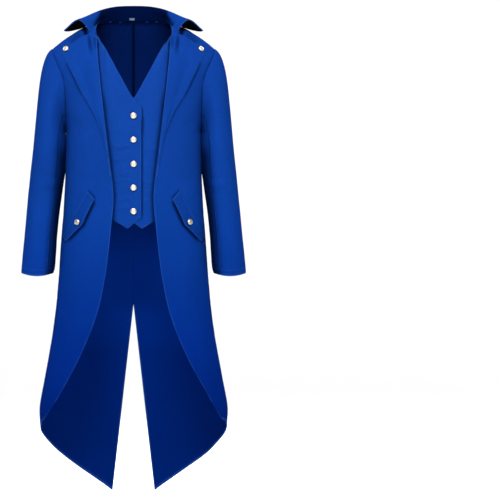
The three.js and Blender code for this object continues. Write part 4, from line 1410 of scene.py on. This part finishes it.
def moved_in(outline, by, closed):
    """An outline moved in by a distance; its first and last points stay out where it isn't closed."""
    points = [Vector(p) for p in outline]
    count = len(points)
    middle = sum(points, Vector((0, 0))) / count
    found = []
    for i, point in enumerate(points):
        sides = []
        for a, b in ((points[i - 1], point), (point, points[(i + 1) % count])):
            normal = (b - a).orthogonal().normalized()
            sides.append(normal if normal.dot(middle - point) > 0 else -normal)
        if not closed and i in (0, count - 1):
            keep = sides[1] if i == 0 else sides[0]
            found.append(point + keep * by)
            continue
        bisector = (sides[0] + sides[1]).normalized()
        found.append(point + bisector * min(by / max(bisector.dot(sides[0]), 0.3), 2.5 * by))
    return found


def on_face(points, side, y):
    """Points of a flat pattern as places at a depth, for a side of the body."""
    return [Vector((side * x, y, z)) * MM for x, z in points]


class OBJECT_OT_tailcoat_flaps(bpy.types.Operator):
    """Dress the slanted pocket flaps and topstitch them"""

    bl_idname = "object.tailcoat_flaps"
    bl_label = "Pocket flaps"

    def execute(self, context):
        for side, sign in SIDES.items():
            flap = cloth_piece(f"pocket_flap_{side}", trim_cloth(), body_out, flap_height, body_grain,
                               TOPSTITCH_IN * MM)
            path = on_face(moved_in(FLAP_OUTLINE, TOPSTITCH_IN, False), sign, -125)
            stitches(f"flap_stitches_{side}", flap, path, lambda place: Vector((0, -1, 0)))
        return {"FINISHED"}


class OBJECT_OT_tailcoat_belt(bpy.types.Operator):
    """Dress the half belt and topstitch it"""

    bl_idname = "object.tailcoat_belt"
    bl_label = "Half belt"

    def execute(self, context):
        belt = cloth_piece("half_belt", trim_cloth(), body_out, body_height, body_grain, TOPSTITCH_IN * MM)
        inner = moved_in(BELT_OUTLINE, TOPSTITCH_IN, True)
        path = on_face(inner + inner[:1], 1, 125)
        stitches("belt_stitches", belt, path, lambda place: Vector((0, 1, 0)))
        return {"FINISHED"}


def cuff_path(piece):
    """A line along the sleeve, a hem's height above its lower edge."""
    co = coordinates(piece.data)
    out = sleeve_out(co)
    outer = dots(vertex_normals(piece.data), out) > 0.2
    _, x, y = sleeve_place(co)
    turn = np.arctan2(y / SLEEVE_DEEP, x / SLEEVE_WIDE)
    if "under" in piece.name:
        turn = turn % (2 * math.pi)
    found = []
    for low in np.arange(turn[outer].min(), turn[outer].max(), 0.04):
        near = outer & (np.abs(turn - low - 0.02) < 0.02)
        if near.any():
            lowest = co[near][co[near][:, 2].argmin()]
            found.append(Vector(lowest) + Vector((0, 0, CUFF_HEM_UP * MM)))
    return found


def out_of_sleeve(place):
    return Vector(sleeve_out(np.array([place]))[0])


class OBJECT_OT_tailcoat_cuffs(bpy.types.Operator):
    """Stitch the sleeve hems"""

    bl_idname = "object.tailcoat_cuffs"
    bl_label = "Cuff hems"

    def execute(self, context):
        for kind in ("upper", "under"):
            for side in SIDES:
                piece = bpy.data.objects[f"cloth_sleeve_{kind}_{side}"]
                stitches(f"cuff_stitches_{kind}_{side}", piece, cuff_path(piece), out_of_sleeve)
        return {"FINISHED"}


class OBJECT_OT_tailcoat_tab(bpy.types.Operator):
    """Make the plain woven tab at the back of the neck"""

    bl_idname = "object.tailcoat_tab"
    bl_label = "Neck tab"

    def execute(self, context):
        cloth = settings()[0]
        # White tape, coloured darker as painted shade inside the neck.
        tape = cloth_material("white woven tape", cloth.tape, cloth.tape, pitch=0.0007, dye=0.08)
        cloth_piece("neck_label", tape, collar_out, None, collar_grain)
        return {"FINISHED"}


def button_axis(node):
    """The middle of a button's back and the direction that it faces."""
    bm = merged_solid(node)
    poles = [v for v in bm.verts if len(v.link_edges) >= 10]
    reach = {v: max(e.calc_length() for e in v.link_edges) for v in poles}
    back = min(poles, key=reach.get)
    top = max(poles, key=reach.get)
    radius = max((v.co - back.co).length for v in bm.verts)
    foot, tip = back.co.copy(), top.co.copy()
    bm.free()
    return foot, (tip - foot), radius


# A button is widest at this share of its height. Its shank and back, in metres, and its groove, as shares of
# its radius.
WIDEST = 0.55
SHANK, SHANK_FOOT, BACK = 0.0021, -0.0002, 0.0009
GROOVE_AT, GROOVE_SPREAD = 0.82, 0.05


def button_profile(radius, height, rim):
    """From the shank's foot out to the rim, in over the groove and up to the dome's top."""
    return [
        (0.0, SHANK_FOOT), (SHANK, SHANK_FOOT), (SHANK, BACK), (radius * 0.9, BACK),
        (radius * 0.985, 0.0013), (radius, 0.0018), (radius * 0.975, 0.0018 + rim),
        (radius * 0.93, 0.0019 + rim), (radius * 0.88, 0.0018), (radius * 0.83, 0.0017),
        (radius * 0.78, 0.0021), (radius * 0.66, height * 0.76), (radius * 0.48, height * 0.89),
        (radius * 0.25, height * 0.975), (0.0, height),
    ]


def turn_button(node, metal, rim):
    """Makes one button in place of its node, marking its tarnished groove, painted shade and painted rim
    highlight.
    """
    foot, rise, reach = button_axis(node)
    height = rise.length
    radius = math.sqrt(max(reach**2 - (WIDEST * height) ** 2, 1e-8))
    bm = turned(button_profile(radius, height, rim), BUTTON_STEPS, 1e-7)
    turn = rise.normalized().to_track_quat("Z", "Y").to_matrix().to_4x4()
    bmesh.ops.transform(bm, matrix=Matrix.Translation(foot) @ turn, verts=bm.verts)
    mesh = bpy.data.meshes.new(f"metal_{node}")
    bm.to_mesh(mesh)
    bm.free()
    place = coordinates(mesh) - foot
    up = place @ np.array(rise.normalized())
    across = np.sqrt(np.maximum((place**2).sum(axis=1) - up**2, 0)) / radius
    # The tarnished groove, painted shade on the underside, and the dulling of hard-used buttons.
    groove = 0.55 * np.exp(-(((across - GROOVE_AT) / GROOVE_SPREAD) ** 2)) + 0.8 * (up < 0.0014)
    dulled = next((share for kind, share in DULLED.items() if kind in node), 0.0)
    write_attribute(mesh, "tarnish_and_shade", np.clip(np.maximum(groove, dulled), 0, 1))
    # Painted highlight, growing towards the rim.
    write_attribute(mesh, "rim", smooth((across - 0.4) / 0.4))
    finish_piece(mesh, f"metal_{node}", metal, "button", node)


class OBJECT_OT_tailcoat_buttons(bpy.types.Operator):
    """Turn the domed metal buttons, each with a rim, a groove and a shank"""

    bl_idname = "object.tailcoat_buttons"
    bl_label = "Buttons"

    def execute(self, context):
        style = settings()[2]
        metal = metal_material("pale gold plating", style.metal)
        for node in BUTTONS:
            turn_button(node, metal, style.rim)
        return {"FINISHED"}


# The studio: the floor's height and half width, the radius of its bend and the backdrop's height above that.
FLOOR_Z, FLOOR_WIDE, FLOOR_BEND, BACKDROP = -1.40, 12.0, 3.0, 4.0
FLOOR_STEPS = 64
# Each light's place, size and power, and what they all face.
LIGHTS = {
    "key": ((-0.18, -2.2, 1.75), 0.9, 140),
    "fill_right": ((2.6, -4.2, 0.9), 3.0, 34),
    "fill_left": ((-2.6, -4.2, 0.9), 3.0, 34),
    "back_key": ((0.2, 2.3, 1.75), 0.9, 150),
    "back_fill_left": ((-2.2, 5.0, 0.9), 3.0, 60),
    "back_fill_right": ((2.2, 5.0, 0.9), 3.0, 60),
}
LIT = Vector((0, 0, -0.5))
# The camera's distance, height and shift, and the width that it sees there, on its sensor of 36 mm.
CAMERA_AWAY, CAMERA_Z, CAMERA_SHIFT, VIEW_WIDE, SENSOR = 8.0, -0.605, 0.233, 1.375, 36


class OBJECT_OT_tailcoat_stage(bpy.types.Operator):
    """Make the pale floor and backdrop, the soft lights and the camera"""

    bl_idname = "object.tailcoat_stage"
    bl_label = "Stage"

    def execute(self, context):
        scene = bpy.context.scene
        flat, edge = FLOOR_WIDE - FLOOR_BEND, FLOOR_Z + FLOOR_BEND
        profile = [(0.0, FLOOR_Z), (flat, FLOOR_Z)]
        for angle in (math.radians(d) for d in range(10, 91, 10)):
            profile.append((flat + FLOOR_BEND * math.sin(angle), edge - FLOOR_BEND * math.cos(angle)))
        profile.append((FLOOR_WIDE, edge + BACKDROP))
        bm = turned(profile, FLOOR_STEPS, 1e-5)
        if sum(f.normal.z * f.calc_area() for f in bm.faces) < 0:
            bmesh.ops.reverse_faces(bm, faces=bm.faces)
        mesh = bpy.data.meshes.new("studio_floor")
        bm.to_mesh(mesh)
        bm.free()
        mesh.shade_smooth()
        material, _, shader = plain_material("pale studio paper")
        shader.inputs["Base Color"].default_value = (0.95, 0.95, 0.95, 1)
        shader.inputs["Roughness"].default_value = 0.95
        shader.inputs["Specular IOR Level"].default_value = 0.1
        mesh.materials.append(material)
        floor = bpy.data.objects.new("studio_floor", mesh)
        scene.collection.objects.link(floor)

        world = bpy.data.worlds.new("studio")
        world.use_nodes = True
        background = world.node_tree.nodes["Background"]
        background.inputs["Color"].default_value = (1, 1, 1, 1)
        background.inputs["Strength"].default_value = 1.0
        scene.world = world

        for name, (place, size, power) in LIGHTS.items():
            light = bpy.data.lights.new(name, "AREA")
            light.size = size
            light.energy = power
            lamp = bpy.data.objects.new(name, light)
            lamp.location = place
            lamp.rotation_euler = (LIT - Vector(place)).to_track_quat("-Z", "Y").to_euler()
            scene.collection.objects.link(lamp)

        camera = bpy.data.cameras.new("camera")
        camera.lens = SENSOR * CAMERA_AWAY / VIEW_WIDE
        eye = bpy.data.objects.new("camera", camera)
        eye.location = (0.0, -CAMERA_AWAY, CAMERA_Z)
        eye.rotation_euler = (math.pi / 2, 0, 0)
        camera.shift_x = CAMERA_SHIFT
        camera.clip_end = 100
        scene.collection.objects.link(eye)
        scene.camera = eye
        scene.view_settings.view_transform = "Standard"
        return {"FINISHED"}


STEPS = [
    OBJECT_OT_tailcoat_backs,
    OBJECT_OT_tailcoat_fronts,
    OBJECT_OT_tailcoat_waistcoat,
    OBJECT_OT_tailcoat_lapels,
    OBJECT_OT_tailcoat_sleeves,
    OBJECT_OT_tailcoat_collar,
    OBJECT_OT_tailcoat_flaps,
    OBJECT_OT_tailcoat_belt,
    OBJECT_OT_tailcoat_cuffs,
    OBJECT_OT_tailcoat_tab,
    OBJECT_OT_tailcoat_buttons,
    OBJECT_OT_tailcoat_stage,
]


class VIEW3D_PT_tailcoat(bpy.types.Panel):
    """The tailcoat's settings and steps"""

    bl_label = "Tailcoat"
    bl_idname = "VIEW3D_PT_tailcoat"
    bl_space_type = "VIEW_3D"
    bl_region_type = "UI"
    bl_category = "Tailcoat"

    def draw(self, context):
        for group in settings():
            box = self.layout.box()
            for name in group.__annotations__:
                box.prop(group, name)
        for step in STEPS:
            self.layout.operator(step.bl_idname)


GROUPS = {
    "tailcoat_cloth": TailcoatCloth,
    "tailcoat_sewing": TailcoatSewing,
    "tailcoat_buttons": TailcoatButtons,
}


def register():
    for name, group in GROUPS.items():
        bpy.utils.register_class(group)
        setattr(bpy.types.Scene, name, bpy.props.PointerProperty(type=group))
    for step in STEPS:
        bpy.utils.register_class(step)
    bpy.utils.register_class(VIEW3D_PT_tailcoat)


def unregister():
    bpy.utils.unregister_class(VIEW3D_PT_tailcoat)
    for step in reversed(STEPS):
        bpy.utils.unregister_class(step)
    for name, group in GROUPS.items():
        delattr(bpy.types.Scene, name)
        bpy.utils.unregister_class(group)


def main():
    register()
    for step in STEPS:
        group, name = step.bl_idname.split(".")
        getattr(getattr(bpy.ops, group), name)()


if __name__ == "__main__":
    main()
